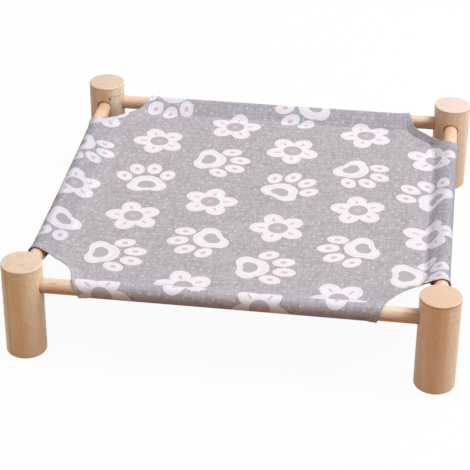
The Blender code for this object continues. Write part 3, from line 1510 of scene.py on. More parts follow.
    def edge_distance(self, flat: np.ndarray) -> np.ndarray:
        """Measure each place's distance to the nearest cut edge.

        Args:
            flat: places (s, t).

        Returns:
            Their distances, and 1 metre for places far from every corner.
        """
        found = np.full(len(flat), 1.0)
        near = (np.abs(flat) > self.near_corner).all(1)
        place = np.abs(flat[near])
        best = np.full(len(place), np.inf)
        line = self.outline(steps=30)
        for origin, way in zip(line[:-1], np.diff(line, axis=0)):
            share = np.clip(((place - origin) @ way) / (way ** 2).sum(), 0.0, 1.0)
            gap = place - origin - share[:, None] * way
            best = np.minimum(best, (gap ** 2).sum(1))
        found[near] = np.sqrt(best)
        return found

    def corner_rise(self, flat: np.ndarray) -> np.ndarray:
        """Return how far the stretched hem across a corner stands above the seams' level.

        The hem band is stiff and tilts as one, and the cloth beside it follows softly. On the
        dowels the rise ends, because the cloth lies on them there.

        Args:
            flat: places (s, t).

        Returns:
            Heights.
        """
        along = np.abs(flat) - self.seam
        above = np.where(along > self.arc_end, np.minimum(0.0, self.seam_again - along), along)
        edge = self.edge_distance((above + self.seam) * np.sign(flat))
        height, share, band = np.zeros(len(flat)), np.ones(len(flat)), np.ones(len(flat))
        for corner, rise in self.raised.items():
            here = (flat * corner.signs > 0).all(1)
            height[here], share[here], band[here] = rise.height, rise.share, rise.band
        shape = np.where(edge < band, 1 - share * edge / band,
                         (1 - share) * np.exp(-(edge - band) / self.band_ease))
        beyond = along.max(1)
        resting = smooth(beyond, -0.001, self.tangent + 0.002)
        resting -= smooth(beyond, self.arc_end - 0.002, self.seam_again)
        return height * shape * (1 - resting)

    def slide(self, flat: np.ndarray) -> np.ndarray:
        """Return how far the cloth near a mouth has slid along its dowel.

        Args:
            flat: places (s, t).

        Returns:
            Distances along X and Y.
        """
        moved = np.zeros_like(flat)
        for (side, end), mouth in self.slides.items():
            lengthwise = 1 - side.axis
            along = flat[:, side.axis] * side.sign - self.seam[side.axis]
            gap = self.half_mouth(side.axis, np.maximum(along, 0.0)) - flat[:, lengthwise] * end
            below = smooth(along, *self.slide_below)
            share = smooth(along, *self.slide_top) * (
                mouth.on_top + (mouth.below - mouth.on_top) * below)
            moved[:, lengthwise] += end * (1 - smooth(gap, 0.0, self.slide_reach)) * share
        return moved

    def section(
        self, along: np.ndarray, near_mouth: np.ndarray
    ) -> tuple[np.ndarray, np.ndarray]:
        """Follow a sleeve's cross-section from its seam.

        Args:
            along: length of cloth from the seam, negative on the panel.
            near_mouth: 1 at the sleeve's mouth, where the hem presses the sleeve's underside
                up against its top, and 0 well inside.

        Returns:
            The distance outwards from the seam and the height above the dowel's axis.
        """
        radius, rise = self.wrap_radius, math.tan(self.slope)
        straight = np.clip(along, 0.0, self.tangent)
        angle = QUARTER_TURN + self.slope - np.clip(
            along - self.tangent, 0.0, self.turn * radius) / radius
        on_arc, past = along > self.tangent, along > self.arc_end
        out = np.where(
            on_arc, self.seam_inset + radius * np.cos(angle), straight * math.cos(self.slope))
        up = np.where(on_arc, radius * np.sin(angle), straight * math.sin(self.slope))
        last = QUARTER_TURN + self.slope - self.turn
        low = (self.seam_inset + radius * math.cos(last), radius * math.sin(last))
        share = np.clip((along - self.arc_end) / self.under_length, 0.0, 1.0)
        out = np.where(past, low[0] * (1 - share), out)
        level = low[1] * (1 - share) - self.layer_step * share
        meet = rise * self.pinch - self.layer_step
        fall = (low[1] - meet) / (low[0] - self.pinch)
        pressed = np.where(
            out < self.pinch, rise * out - self.layer_step, meet + fall * (out - self.pinch))
        up = np.where(past, level + near_mouth * (pressed - level), up)
        flap = np.maximum(along - self.arc_end - self.under_length, 0.0)
        return out - flap + np.minimum(along, 0.0), up

    def surface(self, flat: np.ndarray) -> np.ndarray:
        """Place points of the flat cloth on the made-up bed, without its small unevenness.

        Args:
            flat: places (s, t).

        Returns:
            Points X, Y, Z.
        """
        level = np.clip(np.abs(flat) / self.seam, 0.0, 1.0)
        bowl = -self.sag * (1 - level[:, 0] ** 2) * (1 - level[:, 1] ** 2)
        place = np.concatenate([flat, (self.frame.dowel_height + bowl)[:, None]], 1)
        for axis in (0, 1):
            self.wrap(flat, place, axis, 1 - level[:, 1 - axis] ** 2)
        place[:, 2] += self.corner_rise(flat)
        place[:, :2] += self.slide(flat)
        for side in Side:
            reach = np.clip(side.sign * place[:, side.axis] / self.seam[side.axis], 0.0, 1.0)
            place[:, side.axis] -= side.sign * reach * self.frame.bow(
                side, place[:, 1 - side.axis])
        return place

    def wrap(self, flat: np.ndarray, place: np.ndarray, axis: int, other: np.ndarray) -> None:
        """Fold the sleeves across one axis round their dowels, and pull in their seams.

        Args:
            flat: places (s, t).
            place: their points, which are moved.
            axis: the axis that points outwards.
            other: the share of the sag that is left along the other axis.
        """
        seam, rise = self.seam[axis], math.tan(self.slope)
        beyond, across = np.abs(flat[:, axis]) - seam, np.abs(flat[:, 1 - axis])
        sign = np.sign(flat[:, axis])
        mouth = self.half_mouth(axis, np.maximum(beyond, 0.0))
        out, up = self.section(beyond, 1 - smooth(mouth - across, 0.002, self.pinch_reach))
        on_sleeve = beyond > 0
        place[:, axis] = np.where(on_sleeve, sign * (seam + out), place[:, axis])
        place[:, 2] += np.where(on_sleeve, up, 0.0)
        eased = (np.abs(out) < self.crease) & (beyond < self.tangent)
        lift = rise * (out + self.crease) ** 2 / (4 * self.crease) - rise * np.maximum(out, 0)
        place[:, 2] += np.where(eased, lift, 0.0)
        inner = 1 - np.clip((seam + out) / seam, 0, 1) ** 2
        place[:, 2] -= np.where(beyond > self.seam_again, self.sag * inner * other, 0.0)
        end = self.frame.posts[1 - axis] - self.mouth_setback
        fades = (end - gap for gap in self.pull_end)
        reach = np.where(out < 0, 1.0, self.pull_outside) * self.pull_reach
        dent = np.exp(-(out / reach) ** 2) * (1 - smooth(across, *fades))
        for side, pull in self.pulls.items():
            if side.axis == axis:
                near = np.where(sign == side.sign, dent, 0.0)
                place[:, 2] -= pull.down * near
                place[:, axis] += sign * pull.out * near

    def normals(self, flat: np.ndarray, reach: float = 0.0003) -> np.ndarray:
        """Return the cloth's outward normals.

        Args:
            flat: places (s, t).
            reach: how far off each place the cloth is sampled.

        Returns:
            Their normals.
        """
        along_s, along_t = (
            self.surface(flat + step) - self.surface(flat - step)
            for step in reach * np.eye(2))
        return unit(np.cross(along_s, along_t))

    def unevenness(self, flat: np.ndarray) -> np.ndarray:
        """Return how far the cloth stands off its smooth shape, along its normal.

        The cut edges curl outwards, the seams pucker, the stitches sink in, and the panel has
        slow waves.

        Args:
            flat: places (s, t).

        Returns:
            Distances along the normals.
        """
        beyond = np.abs(flat) - self.seam
        edge = self.edge_distance(flat)
        lift = self.curl * np.exp(-edge / self.curl_reach)
        lift += self.hem_step * (1 - smooth(edge - self.hem_band, *self.hem_edge))
        for inset in HEM_ROWS:
            lift -= self.hem_dimple * np.exp(-((edge - inset) / self.hem_groove) ** 2)
        short, long = self.pucker_lengths
        for axis in (0, 1):
            gap, other = beyond[:, axis], flat[:, 1 - axis]
            phase = 1.7 * axis + np.sign(flat[:, axis])
            wave = (np.sin(other * 2 * math.pi / short + phase)
                    + 0.7 * np.sin(other * 2 * math.pi / long + 2.3 * phase))
            near = np.exp(-np.abs(gap) / self.pucker_reach) * (gap < self.tangent)
            lift += self.pucker * near * wave * (np.abs(other) < self.seam[1 - axis])
            lift -= self.dimple * np.exp(
                -((gap + self.stitch_inset) / self.seam_groove) ** 2)
        level = np.clip(1 - (np.abs(flat) / self.seam) ** 2, 0.0, 1.0).prod(1)
        waves = sum(
            wave.share * np.sin(
                flat[:, 0] * wave.along_s + flat[:, 1] * wave.along_t + wave.start)
            for wave in self.waves)
        return lift + self.wave_height * level * waves

    def place(self, flat: np.ndarray, off: float | np.ndarray = 0.0) -> np.ndarray:
        """Place points of the flat cloth on the bed.

        Args:
            flat: places (s, t).
            off: distance from the cloth's middle surface, outwards.

        Returns:
            Points X, Y, Z.
        """
        return self.surface(flat) + self.normals(flat) * (self.unevenness(flat) + off)[:, None]


@dataclass
class SleevedCover:
    """The cover: one cloth with four sleeves and turned hems along its cut edges.

    `near_edge` and `corner_rows` are in millimetres: how far from an edge of the panel its
    first lines of vertices lie, and how far from a seam its rows across the cut corners lie.
    """

    cut: CoverCut
    cotton: PrintedCotton
    thickness: float = 0.00045
    fold_radius: float = 0.00034
    hem_width: float = 0.0075
    fold_steps: int = 4
    spacing: float = 0.0042
    near_edge: tuple[float, ...] = (
        0, 0.7, 1.3, 1.8, 2.4, 3.2, 4.4, 5.5, 6.2, 6.9, 7.7, 8.8, 11, 14, 17.5)
    corner_rows: tuple[float, ...] = (
        0, 0.7, 1.4, 2.2, 3.4, 4.7, 6, 7.3, 8.7, 10.2, 11.8, 13.4, 15, 16.6, 18.2, 19.8, 21.4,
        22.8, 24)
    points: list[np.ndarray] = field(default_factory=list)
    flats: list[np.ndarray] = field(default_factory=list)
    faces: list[tuple[int, ...]] = field(default_factory=list)
    count: int = 0

    def spaced(self, half: float) -> np.ndarray:
        """Space lines over a width, closer together at its two ends.

        Args:
            half: half the width.

        Returns:
            The lines' places from -half to half.
        """
        near = MM * np.array(self.near_edge)
        inner, ends = half - near[-1], half - near[:-1]
        middle = np.linspace(-inner, inner, max(2, round(2 * inner / self.spacing)) + 1)
        return np.concatenate([-ends, middle, ends[::-1]])

    def add(self, flat: np.ndarray, points: np.ndarray) -> np.ndarray:
        """Keep vertices.

        Args:
            flat: their places in the flat cloth.
            points: their places on the bed.

        Returns:
            Their numbers.
        """
        self.flats.append(flat)
        self.points.append(points)
        first = self.count
        self.count += len(flat)
        return np.arange(first, self.count)

    def skin(self, lines: Sequence[np.ndarray], flip: bool) -> None:
        """Make faces between neighbouring lines of vertices.

        Args:
            lines: the vertex numbers of each line.
            flip: turn the faces over.
        """
        for low, high in zip(lines, lines[1:]):
            for a, b, c, d in zip(low, low[1:], high[1:], high):
                self.faces.append((a, d, c, b) if flip else (a, b, c, d))

    def stations(self) -> np.ndarray:
        """Space the lines of vertices round a sleeve.

        Returns:
            The lengths of cloth beyond the seam: up to the dowel, round it, back, and along
            the allowance.
        """
        cut = self.cut
        rise = MM * np.array([0.6, 1.4, 2.6, 4.5, 7.0, 10.0, 14.0])
        bend = np.linspace(cut.tangent, cut.arc_end, 25)
        back = cut.arc_end + cut.under_length * np.array([0.2, 0.45, 0.7, 0.88, 1.0])
        flap = cut.seam_again + cut.seam_allowance * np.array([0.25, 0.6, 1.0])
        return np.concatenate([rise, bend, back, flap])

    def build(self, groups: Groups) -> bpy.types.Object:
        """Make the cover's mesh, give it thickness and dress it.

        Args:
            groups: the shader node groups.

        Returns:
            The cover.
        """
        cut, ends = self.cut, len(self.corner_rows)
        end = cut.frame.posts[1] - cut.mouth_setback
        shares, straight = self.spaced(cut.seam[0]) / cut.seam[0], self.spaced(end)
        rows = cut.seam[1] - MM * np.array(self.corner_rows)
        panel = []
        for across in np.concatenate([-rows, straight, rows[::-1]]):
            flat = pair(0, shares * cut.half_row(across), np.full(len(shares), across))
            panel.append(self.add(flat, cut.place(flat)))
        self.skin(panel, False)
        inner = np.array(panel[ends:-ends])
        strips = {
            Side.FRONT: [panel[0]], Side.BACK: [panel[-1]],
            Side.LEFT: [inner[:, 0]], Side.RIGHT: [inner[:, -1]]}
        for side, strip in strips.items():
            shape = shares if side.axis == 1 else straight / end
            for along in self.stations():
                out = np.full(len(shape), side.sign * (cut.seam[side.axis] + along))
                flat = pair(side.axis, out, shape * cut.half_mouth(side.axis, along))
                strip.append(self.add(flat, cut.place(flat)))
            self.skin(strip, side in (Side.FRONT, Side.RIGHT))
        for corner in Corner:
            back = corner.signs[1] > 0
            across_corner = panel[-ends:] if back else panel[:ends][::-1]
            self.turn_hem(self.corner_edge(corner, across_corner, strips), corner)
        return self.make(groups)

    @staticmethod
    def corner_edge(
        corner: Corner, rows: list[np.ndarray], strips: dict[Side, list[np.ndarray]]
    ) -> np.ndarray:
        """Gather the vertices along one corner's cut edge.

        Args:
            corner: the corner.
            rows: the panel's rows of vertices across it, from the middle outwards.
            strips: each sleeve's lines of vertices.

        Returns:
            The vertices from the side sleeve's flap to the front or back sleeve's flap.
        """
        at_x, at_y = (-1 if sign > 0 else 0 for sign in corner.signs)
        side = strips[Side.RIGHT if at_x else Side.LEFT]
        end = strips[Side.BACK if at_y else Side.FRONT]
        return np.array(
            [line[at_y] for line in side[::-1]] + [row[at_x] for row in rows]
            + [line[at_x] for line in end[1:]])

    def turn_hem(self, edge: np.ndarray, corner: Corner) -> None:
        """Fold the cloth under along one cut edge.

        Args:
            edge: the vertices along the edge.
            corner: its corner.
        """
        cut, radius, signs, inside = self.cut, self.fold_radius, corner.signs, 0.0004
        flats = np.concatenate(self.flats)[edge]
        quarter = flats * signs
        way = unit(np.gradient(quarter, axis=0))
        outward = np.stack([way[:, 1], -way[:, 0]], 1)
        outward *= signs * np.sign((outward * (cut.half_size - quarter)).sum(1).mean())
        normal = cut.normals(flats)
        rim = np.concatenate(self.points)[edge]
        out = rim - cut.place(flats - outward * inside)
        out = unit(out - normal * (out * normal).sum(1, keepdims=True))
        lines = [edge]
        for angle in np.linspace(0.0, math.pi, self.fold_steps + 1)[1:]:
            points = rim - normal * radius + radius * (
                math.cos(angle) * normal + math.sin(angle) * out)
            lines.append(self.add(flats + outward * radius * angle, points))
        for width in self.hem_width * np.array([0.2, 0.45, 0.75, 1.0]):
            points = cut.place(flats - outward * width, -2 * radius)
            lines.append(self.add(flats + outward * (math.pi * radius + width), points))
        self.skin(lines, signs.prod() > 0)

    def make(self, groups: Groups) -> bpy.types.Object:
        """Turn the kept vertices and faces into the finished cloth.

        Args:
            groups: the shader node groups.

        Returns:
            The cover.
        """
        cover = mesh_piece("sewn_cover", np.concatenate(self.points), self.faces)
        flats = np.concatenate(self.flats)
        layer = cover.data.uv_layers.new(name=FLAT_MAP)
        for loop in cover.data.loops:
            layer.data[loop.index].uv = flats[loop.vertex_index]
        cover.data.materials.append(self.cotton.front_material(groups))
        cover.data.materials.append(self.cotton.back_material(groups))
        apply_modifier(
            cover, "thickness", "SOLIDIFY", thickness=self.thickness, offset=0.0,
            use_even_offset=True, use_rim=True, material_offset=1, material_offset_rim=0)
        smooth_faces(cover, 60.0)
        return hand_over(cover, "cover")

    def flat_area(self) -> float:
        """Measure the cut cloth's flat area, hems left out.

        Returns:
            The area in square metres.
        """
        x, y = np.concatenate([self.cut.outline(), [self.cut.half_size]]).T
        missing = abs((x * np.roll(y, -1) - y * np.roll(x, -1)).sum()) / 2
        return float((2 * self.cut.half_size).prod() - 4 * missing)


@dataclass
class Stitching:
    """Rows of machine stitches, all copies of one stitch."""

    cut: CoverCut
    thickness: float
    fold_radius: float
    thread: SewingThread
    pitch: float = 0.0036
    length: float = 0.0029
    width: float = 0.00090
    height: float = 0.00060
    seam_end: float = 0.006

    def pattern(self) -> tuple[np.ndarray, list[tuple[int, ...]]]:
        """Model one stitch along X: a bead of thread, fuller in the middle.

        Returns:
            Its points and faces.
        """
        deselect_all()
        bpy.ops.mesh.primitive_uv_sphere_add(segments=6, ring_count=5, radius=0.5)
        bead = bpy.context.object
        bpy.ops.object.mode_set(mode="EDIT")
        bpy.ops.mesh.select_all(action="SELECT")
        bpy.ops.transform.rotate(value=QUARTER_TURN, orient_axis="Y", center_override=(0, 0, 0))
        bpy.ops.transform.resize(value=(self.length, self.width, self.height))
        bpy.ops.object.mode_set(mode="OBJECT")
        points = np.array([vert.co for vert in bead.data.vertices])
        faces = [tuple(face.vertices) for face in bead.data.polygons]
        bpy.data.objects.remove(bead, do_unlink=True)
        return points, faces

    def row(self, path: np.ndarray, off: float) -> tuple[np.ndarray, np.ndarray, np.ndarray]:
        """Space stitches along a line of the flat cloth.

        Args:
            path: points (s, t) along the line.
            off: distance from the cloth's middle surface.

        Returns:
            Each stitch's middle, its direction and its normal.
        """
        steps = np.concatenate([[0.0], np.cumsum(np.linalg.norm(np.diff(path, axis=0), axis=1))])
        count = int(steps[-1] // self.pitch)
        at = (steps[-1] - (count - 1) * self.pitch) / 2 + self.pitch * np.arange(count)
        behind, flat, ahead = (
            np.stack([np.interp(at + nudge, steps, line) for line in path.T], 1)
            for nudge in (-MM, 0.0, MM))
        way = unit(self.cut.place(ahead, off) - self.cut.place(behind, off))
        return self.cut.place(flat, off), way, self.cut.normals(flat)

    def sew(
        self, name: str, rows: Sequence[tuple[np.ndarray, float]], node: str,
        thread: bpy.types.Material,
    ) -> bpy.types.Object:
        """Sew rows of stitches as one piece.

        Args:
            name: the piece's name.
            rows: each row's line in the flat cloth, and its distance from the middle surface.
            node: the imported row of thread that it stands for.
            thread: the material.

        Returns:
            The piece.
        """
        bead, bead_faces = self.pattern()
        points, faces = [], []
        for path, off in rows:
            for middle, way, normal in zip(*self.row(path, off)):
                sideways = np.cross(normal, way)
                sideways /= np.linalg.norm(sideways)
                first = len(points) * len(bead)
                points.append(middle + bead @ np.stack([way, sideways, np.cross(way, sideways)]))
                faces += [tuple(first + place for place in face) for face in bead_faces]
        piece = mesh_piece(name, np.concatenate(points), faces)
        smooth_faces(piece, 80.0)
        piece.data.materials.append(thread)
        return hand_over(piece, node)

    def build_seams(self) -> list[bpy.types.Object]:
        """Sew the four seams, on the panel and under the flap.

        Returns:
            The pieces.
        """
        cut, thread, pieces, count = self.cut, self.thread.material(), [], 200
        for side in Side:
            end = cut.frame.posts[1 - side.axis] - cut.mouth_setback - self.seam_end
            lengthwise, rows = np.linspace(-end, end, count), []
            for along in (-cut.stitch_inset, cut.seam_again + cut.stitch_inset):
                out = np.full(count, side.sign * (cut.seam[side.axis] + along))
                rows.append((pair(side.axis, out, lengthwise), self.thickness / 2))
            pieces.append(self.sew(
                f"seam_stitches_{side.word}", rows, f"seam_thread_{side.word}", thread))
        return pieces

    def build_hems(self) -> list[bpy.types.Object]:
        """Sew the four corners' hems with two rows each, seen on both faces.

        Returns:
            The pieces.
        """
        cut, thread, pieces, beside = self.cut, self.thread.material(), [], 0.004
        line = cut.outline(steps=40)
        way = unit(np.gradient(line, axis=0))
        inward = np.stack([-way[:, 1], way[:, 0]], 1)
        inward *= -np.sign((inward * (cut.half_size - line)).sum(1).mean())
        under = -(2 * self.fold_radius + self.thickness / 2)
        for corner in Corner:
            rows = []
            for inset in HEM_ROWS:
                path = (line + inward * inset) * corner.signs
                on_panel = (np.abs(path) < cut.seam + beside).all(1)
                rows += [(path, self.thickness / 2), (path[on_panel], under)]
            pieces.append(self.sew(
                f"hem_stitches_{corner.word}", rows, f"hem_thread_{corner.word}", thread))
        return pieces


# Studio


@dataclass(frozen=True)
class Lamp:
    """A soft lamp that shines at the bed: its place, its size in metres and its watts."""

    name: str
    place: Triple
    size: tuple[float, float]
    power: float
    colour: Triple = (0.94, 1.00, 1.06)
    target: Triple = (0.0, 0.0, 0.05)

    def hang(self) -> None:
        """Add the lamp to the scene."""
        light = bpy.data.lights.new(self.name, "AREA")
        light.shape = "RECTANGLE"
        light.size, light.size_y = self.size
        light.energy, light.color = self.power, self.colour
        lamp = bpy.data.objects.new(self.name, light)
        aim = Vector(self.target) - Vector(self.place)
        lamp.rotation_euler = aim.to_track_quat("-Z", "Y").to_euler()
        lamp.location = self.place
        bpy.context.scene.collection.objects.link(lamp)


@dataclass
class Studio:
    """The camera, the lamps, the pale floor and the white surroundings."""

    azimuth: float = 0.1362
    elevation: float = 0.5430
    roll: float = 0.0067
    distance: float = 1.71288
    target: Triple = (-0.015742, -0.038409, 0.050)
    sensor: float = 36.0
    lens: float = 1642.69 / 470 * 36
    warm_light: Triple = (0.435, 0.338, 0.272)
    floor_tone: Triple = (0.378, 0.241, 0.163)
    white: Triple = (1.0, 1.0, 1.0)
    floor_white: float = 0.95
    floor_size: float = 12.0
    lamps: tuple[Lamp, ...] = (
        Lamp("key_right", (1.4, 0.6, 3.0), (1.6, 1.6), 70.0),
        Lamp("overhead", (-0.1, -0.40, 2.6), (1.8, 1.8), 10.5),
        Lamp("side_right", (2.6, -0.25, 0.50), (1.0, 0.6), 13.0))

    def add_camera(self) -> None:
        """Set the camera at the photograph's angle."""
        level = math.cos(self.elevation)
        back = Vector((math.sin(self.azimuth) * level, -math.cos(self.azimuth) * level,
                       math.sin(self.elevation)))
        right = Vector((0, 0, 1)).cross(back).normalized()
        up = back.cross(right)
        turned_right = right * math.cos(self.roll) + up * math.sin(self.roll)
        turned_up = up * math.cos(self.roll) - right * math.sin(self.roll)
        lens = bpy.data.cameras.new("photo_camera")
        lens.sensor_width, lens.lens = self.sensor, self.lens
        lens.clip_start, lens.clip_end = 0.05, 50
        camera = bpy.data.objects.new("photo_camera", lens)
        axes = Matrix((turned_right, turned_up, back)).transposed().to_4x4()
        place = Vector(self.target) + back * self.distance
        camera.matrix_world = Matrix.Translation(place) @ axes
        bpy.context.scene.collection.objects.link(camera)
        bpy.context.scene.camera = camera

    @staticmethod
    def show(board: Board, kind: str, lighting: Wire, shown: Wire) -> None:
        """Let one shader light the bed and another one be seen.

        Args:
            board: the empty tree's board.
            kind: the output node's type.
            lighting: the shader that lights the bed.
            shown: the shader for camera, glossy and transmission rays.
        """
        path = board.add("ShaderNodeLightPath")
        camera, glossy, through = (
            Wire(board, path.outputs[f"Is {ray} Ray"])
            for ray in ("Camera", "Glossy", "Transmission"))
        seen = camera.run("MAXIMUM", glossy.run("MAXIMUM", through))
        board.add(kind, {"Surface": board.wire(
            "ShaderNodeMixShader", {0: seen, 1: lighting, 2: shown})})

    def add_world(self) -> None:
        """Surround the bed with even light that looks white."""
        world = bpy.data.worlds.new("surroundings")
        bpy.context.scene.world = world
        world.use_nodes = True
        world.node_tree.nodes.clear()
        board = Board(world.node_tree)
        soft, white = (
            board.wire("ShaderNodeBackground", {"Color": colour})
            for colour in (self.warm_light, self.white))
        self.show(board, "ShaderNodeOutputWorld", soft, white)

    def add_floor(self) -> None:
        """Lay a pale floor that keeps the bed's shadow."""
        deselect_all()
        bpy.ops.mesh.primitive_plane_add(size=self.floor_size, location=(0.0, 0.0, 0.0))
        floor = bpy.context.object
        floor.name = "studio_floor"
        material = bpy.data.materials.new("studio_floor")
        material.use_nodes = True
        material.node_tree.nodes.clear()
        board = Board(material.node_tree)
        matt, pale = (
            board.wire("ShaderNodeBsdfDiffuse", {"Color": colour})
            for colour in (self.floor_tone, self.white))
        glow = board.wire("ShaderNodeEmission")
        self.show(board, "ShaderNodeOutputMaterial", matt, board.wire(
            "ShaderNodeMixShader", {0: self.floor_white, 1: pale, 2: glow}))
        floor.data.materials.append(material)

    def build(self) -> None:
        """Set up the whole studio."""
        self.add_camera()
        for lamp in self.lamps:
            lamp.hang()
        self.add_world()
        self.add_floor()
        bpy.context.scene.view_settings.view_transform = "Standard"


# The wood of each post and dowel, with painted light and shade in some of its slabs and marks

ACROSS, UNDER = (0.991, 0.136, 0.0), (0.0, -0.515, -0.857)
EAST, WEST, NORTH = (1.0, 0.0, 0.0), (-1.0, 0.0, 0.0), (0.0, 1.0, 0.0)
# Cream: pale wood on the front dowel, and painted light down the right side of every post. The
# dark brown after it: painted shadow and shade at the right ends of the front and back dowels,
# next to the right-hand posts.
CREAM_AND_PAINTED_LIGHT, PAINTED_SHADOW_BROWN = (1.0, 0.90, 0.77), (0.42, 0.19, 0.12)
ALONG_X, ALONG_Y = (0.16, 1.0, 1.0), (1.0, 0.16, 1.0)
# On each post the untinted orange slabs on its left part are the wood's own streaks and painted
# shade on the side away from the light; the cream slab on its right side is painted light.
POST_WOODS = {
    Corner.FRONT_LEFT: BareWood(
        "pine_front_left", pith=(-214.0, -190.0, 0.0), lean=(1.6, -2.2, 20.0), seed=3.1,
        pale=(1.000, 0.840, 0.620), late=(1.000, 0.690, 0.380),
        ring_width=3.0, ring_depth=0.25, streak_depth=0.50,
        tone_and_light_slabs=(ToneAndLightSlab(ACROSS, -241.0, 3.2, 0.65, 1.0), ToneAndLightSlab(ACROSS, -228.0, 3.0, 0.25, 2.0),
                ToneAndLightSlab(ACROSS, -219.0, 16.0, 0.50, 3.0, CREAM_AND_PAINTED_LIGHT)),
        knots_and_shadow_flecks=(KnotAndShadowFleck((-197.0, -206.0, 100.0), 1.3, 0.55, (0.35, 1.0, 1.0)),
               KnotAndShadowFleck((-204.0, -190.0, 100.0), 1.2, 0.35, (0.5, 1.0, 1.0))),
        sawn=SawnEnd(
            pale=(0.775, 0.632, 0.515), dark=(0.590, 0.430, 0.310), rings=0.16, rub=0.55,
            line=0.12)),
    Corner.FRONT_RIGHT: BareWood(
        "pine_front_right", pith=(176.0, -176.0, 0.0), lean=(-3.0, 3.4, 75.0), seed=7.7,
        pale=(0.985, 0.770, 0.560), late=(0.880, 0.580, 0.335),
        ring_width=6.5, wander=14.0, ring_depth=0.22, streak_depth=0.40,
        tone_and_light_slabs=(ToneAndLightSlab(ACROSS, 162.0, 7.0, 0.30, 3.0),
                ToneAndLightSlab(ACROSS, 177.0, 18.0, 0.45, 3.0, CREAM_AND_PAINTED_LIGHT)),
        knots_and_shadow_flecks=(KnotAndShadowFleck((184.0, -212.0, 14.7), 0.9), KnotAndShadowFleck((199.7, -220.0, 78.0), 0.65),
               KnotAndShadowFleck((194.8, -219.3, 68.1), 0.6, 0.7),
               KnotAndShadowFleck((209.4, -217.0, 99.5), 0.75, 0.8, (0.3, 0.6, 1.0))),
        sawn=SawnEnd(
            pale=(0.725, 0.565, 0.435), dark=(0.600, 0.430, 0.305), rings=0.50, line=0.50)),
    Corner.BACK_LEFT: BareWood(
        "pine_back_left", pith=(-193.0, 188.0, 0.0), lean=(2.6, 1.8, 140.0), seed=12.4,
        pale=(1.000, 0.880, 0.720), late=(0.930, 0.680, 0.450),
        ring_width=2.4, ring_depth=0.60,
        tone_and_light_slabs=(ToneAndLightSlab(ACROSS, -192.0, 9.5), ToneAndLightSlab(ACROSS, -175.0, 3.0, 0.20),
                ToneAndLightSlab(ACROSS, -168.0, 19.0, 0.70, 2.5, CREAM_AND_PAINTED_LIGHT)),
        knots_and_shadow_flecks=(KnotAndShadowFleck((-193.0, 181.3, 86.2), 1.7), KnotAndShadowFleck((-199.0, 180.0, 64.0), 3.0)),
        sawn=SawnEnd(
            pale=(0.715, 0.572, 0.466), dark=(0.500, 0.365, 0.265), rings=0.50, rub=0.60,
            line=0.10)),
    Corner.BACK_RIGHT: BareWood(
        "pine_back_right", pith=(203.0, 204.0, 0.0), lean=(-1.5, -1.8, 250.0), seed=18.9,
        pale=(0.960, 0.830, 0.680), late=(0.900, 0.660, 0.450),
        ring_width=2.2, ring_depth=0.35,
        tone_and_light_slabs=(ToneAndLightSlab(ACROSS, 204.0, 13.0, 0.30, 2.5),
                ToneAndLightSlab(ACROSS, 226.0, 21.0, 0.55, 3.0, CREAM_AND_PAINTED_LIGHT)),
        sawn=SawnEnd(pale=(0.805, 0.712, 0.665), dark=(0.650, 0.510, 0.425), rings=0.35)),
}
DOWEL_TONE_AND_LIGHT_SLABS = {
    Side.FRONT: (ToneAndLightSlab(EAST, 138.0, 25.0, 0.55, 4.0, CREAM_AND_PAINTED_LIGHT),
                 # Painted shade: a dark orange slab along the front dowel's underside.
                 ToneAndLightSlab(UNDER, 42.4, 9.0, 0.90, 1.0, (0.62, 0.26, 0.08)),
                 # Painted shadow of the front right post on the front dowel's right end.
                 ToneAndLightSlab(EAST, 169.5, 30.0, 0.58, 6.0, PAINTED_SHADOW_BROWN)),
    # Painted shade along the back dowel's lower front.
    Side.BACK: (ToneAndLightSlab(UNDER, -164.0, 9.0, 0.20),
                ToneAndLightSlab(EAST, -200.0, 50.0, 0.60, 5.0, (0.92, 0.66, 0.52)),
                # Painted shade on the back dowel's lower right end, next to the back right post.
                ToneAndLightSlab((0.6, 0.0, -0.8), 38.5, 30.0, 0.62, 4.0, PAINTED_SHADOW_BROWN)),
    Side.LEFT: (ToneAndLightSlab(EAST, -199.0, 9.0, 0.35),
                ToneAndLightSlab(NORTH, 162.0, 30.0, 0.80, 4.0, (0.72, 0.46, 0.28))),
    Side.RIGHT: (ToneAndLightSlab(WEST, -199.0, 9.0, 0.30),
                 ToneAndLightSlab(NORTH, 150.0, 50.0, 0.45, 8.0, (0.72, 0.50, 0.34))),
}
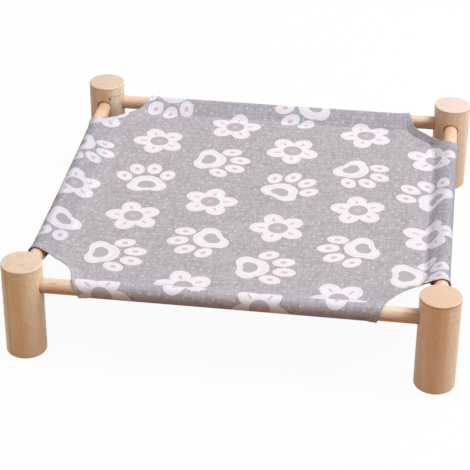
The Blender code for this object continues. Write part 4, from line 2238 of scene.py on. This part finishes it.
DOWEL_KNOTS_AND_SHADOWS = {
    # Painted shadow: the two long dark patches at the front dowel's right end, next to the front
    # right post.
    Side.FRONT: (KnotAndShadowFleck((176.0, -205.4, 80.0), 1.9, 0.50, ALONG_X),
                 KnotAndShadowFleck((174.0, -207.0, 76.0), 2.6, 0.32, ALONG_X),
                 KnotAndShadowFleck((-168.0, -204.4, 80.8), 1.0, 0.45, ALONG_X)),
    Side.BACK: (KnotAndShadowFleck((170.0, 193.4, 77.0), 2.2, 0.5, ALONG_X),),
    Side.LEFT: (KnotAndShadowFleck((-199.0, 176.5, 82.3), 1.6, 0.40), KnotAndShadowFleck((-196.6, 171.5, 81.4), 1.1, 0.35),
                KnotAndShadowFleck((-203.5, 170.0, 80.5), 1.2, 0.30, ALONG_Y)),
    Side.RIGHT: (KnotAndShadowFleck((198.0, -160.0, 82.0), 0.9, 0.25, ALONG_Y),),
}


def dowel_wood(side: Side, frame: Frame) -> BareWood:
    """Pick the wood of one dowel, with its grain along it.

    Args:
        side: the dowel's side.
        frame: the frame's sizes.

    Returns:
        The finish.
    """
    pith, lean = [0.0, 0.0, frame.dowel_height / MM + 9.0], [0.0, 0.0, 0.0]
    pith[side.axis] = side.sign * (float(frame.posts[side.axis]) / MM + 6.0)
    lean[side.axis] = 90.0
    return BareWood(
        f"pine_dowel_{side.word}", pith=tuple(pith), lean=tuple(lean),
        seed=30.0 + 5.3 * side.sign + 2.1 * side.axis, pale=(0.960, 0.790, 0.630),
        late=(0.840, 0.580, 0.380), ring_width=1.9, wander=1.6, tone_depth=0.5,
        streak_depth=0.60, tone_and_light_slabs=DOWEL_TONE_AND_LIGHT_SLABS[side], knots_and_shadow_flecks=DOWEL_KNOTS_AND_SHADOWS[side])


def reported(piece: bpy.types.Object) -> bpy.types.Object:
    """Log a finished piece and return it."""
    LOG.info("%s: %d faces", piece.name, len(piece.data.polygons))
    return piece


def main() -> None:
    """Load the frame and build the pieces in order."""
    logging.basicConfig(level=logging.INFO, format="%(name)s: %(message)s")
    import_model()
    Studio().build()
    LOG.info("studio ready")
    groups, frame = Groups(), Frame()
    for corner, wood in POST_WOODS.items():
        reported(RoundPost(corner, frame, wood).build(groups))
    dowels = [
        reported(Dowel(side, frame, dowel_wood(side, frame)).build(groups)) for side in Side]
    cut = CoverCut(frame)
    maker = SleevedCover(cut, PrintedCotton())
    cover = reported(maker.build(groups))
    sizes = (cut, maker.thickness, maker.fold_radius)
    rows = Stitching(*sizes, SewingThread()).build_seams()
    rows += Stitching(
        *sizes, SewingThread("hem_thread", (0.680, 0.710, 0.820))).build_hems()
    for row in rows:
        reported(row)
    tuple(float(size) for size in 2 * cut.half_size)
    maker.flat_area()
    LOG.info("flat cloth %s m, %.4f square metres", 2 * cut.half_size, maker.flat_area())


if __name__ == "__main__":
    main()
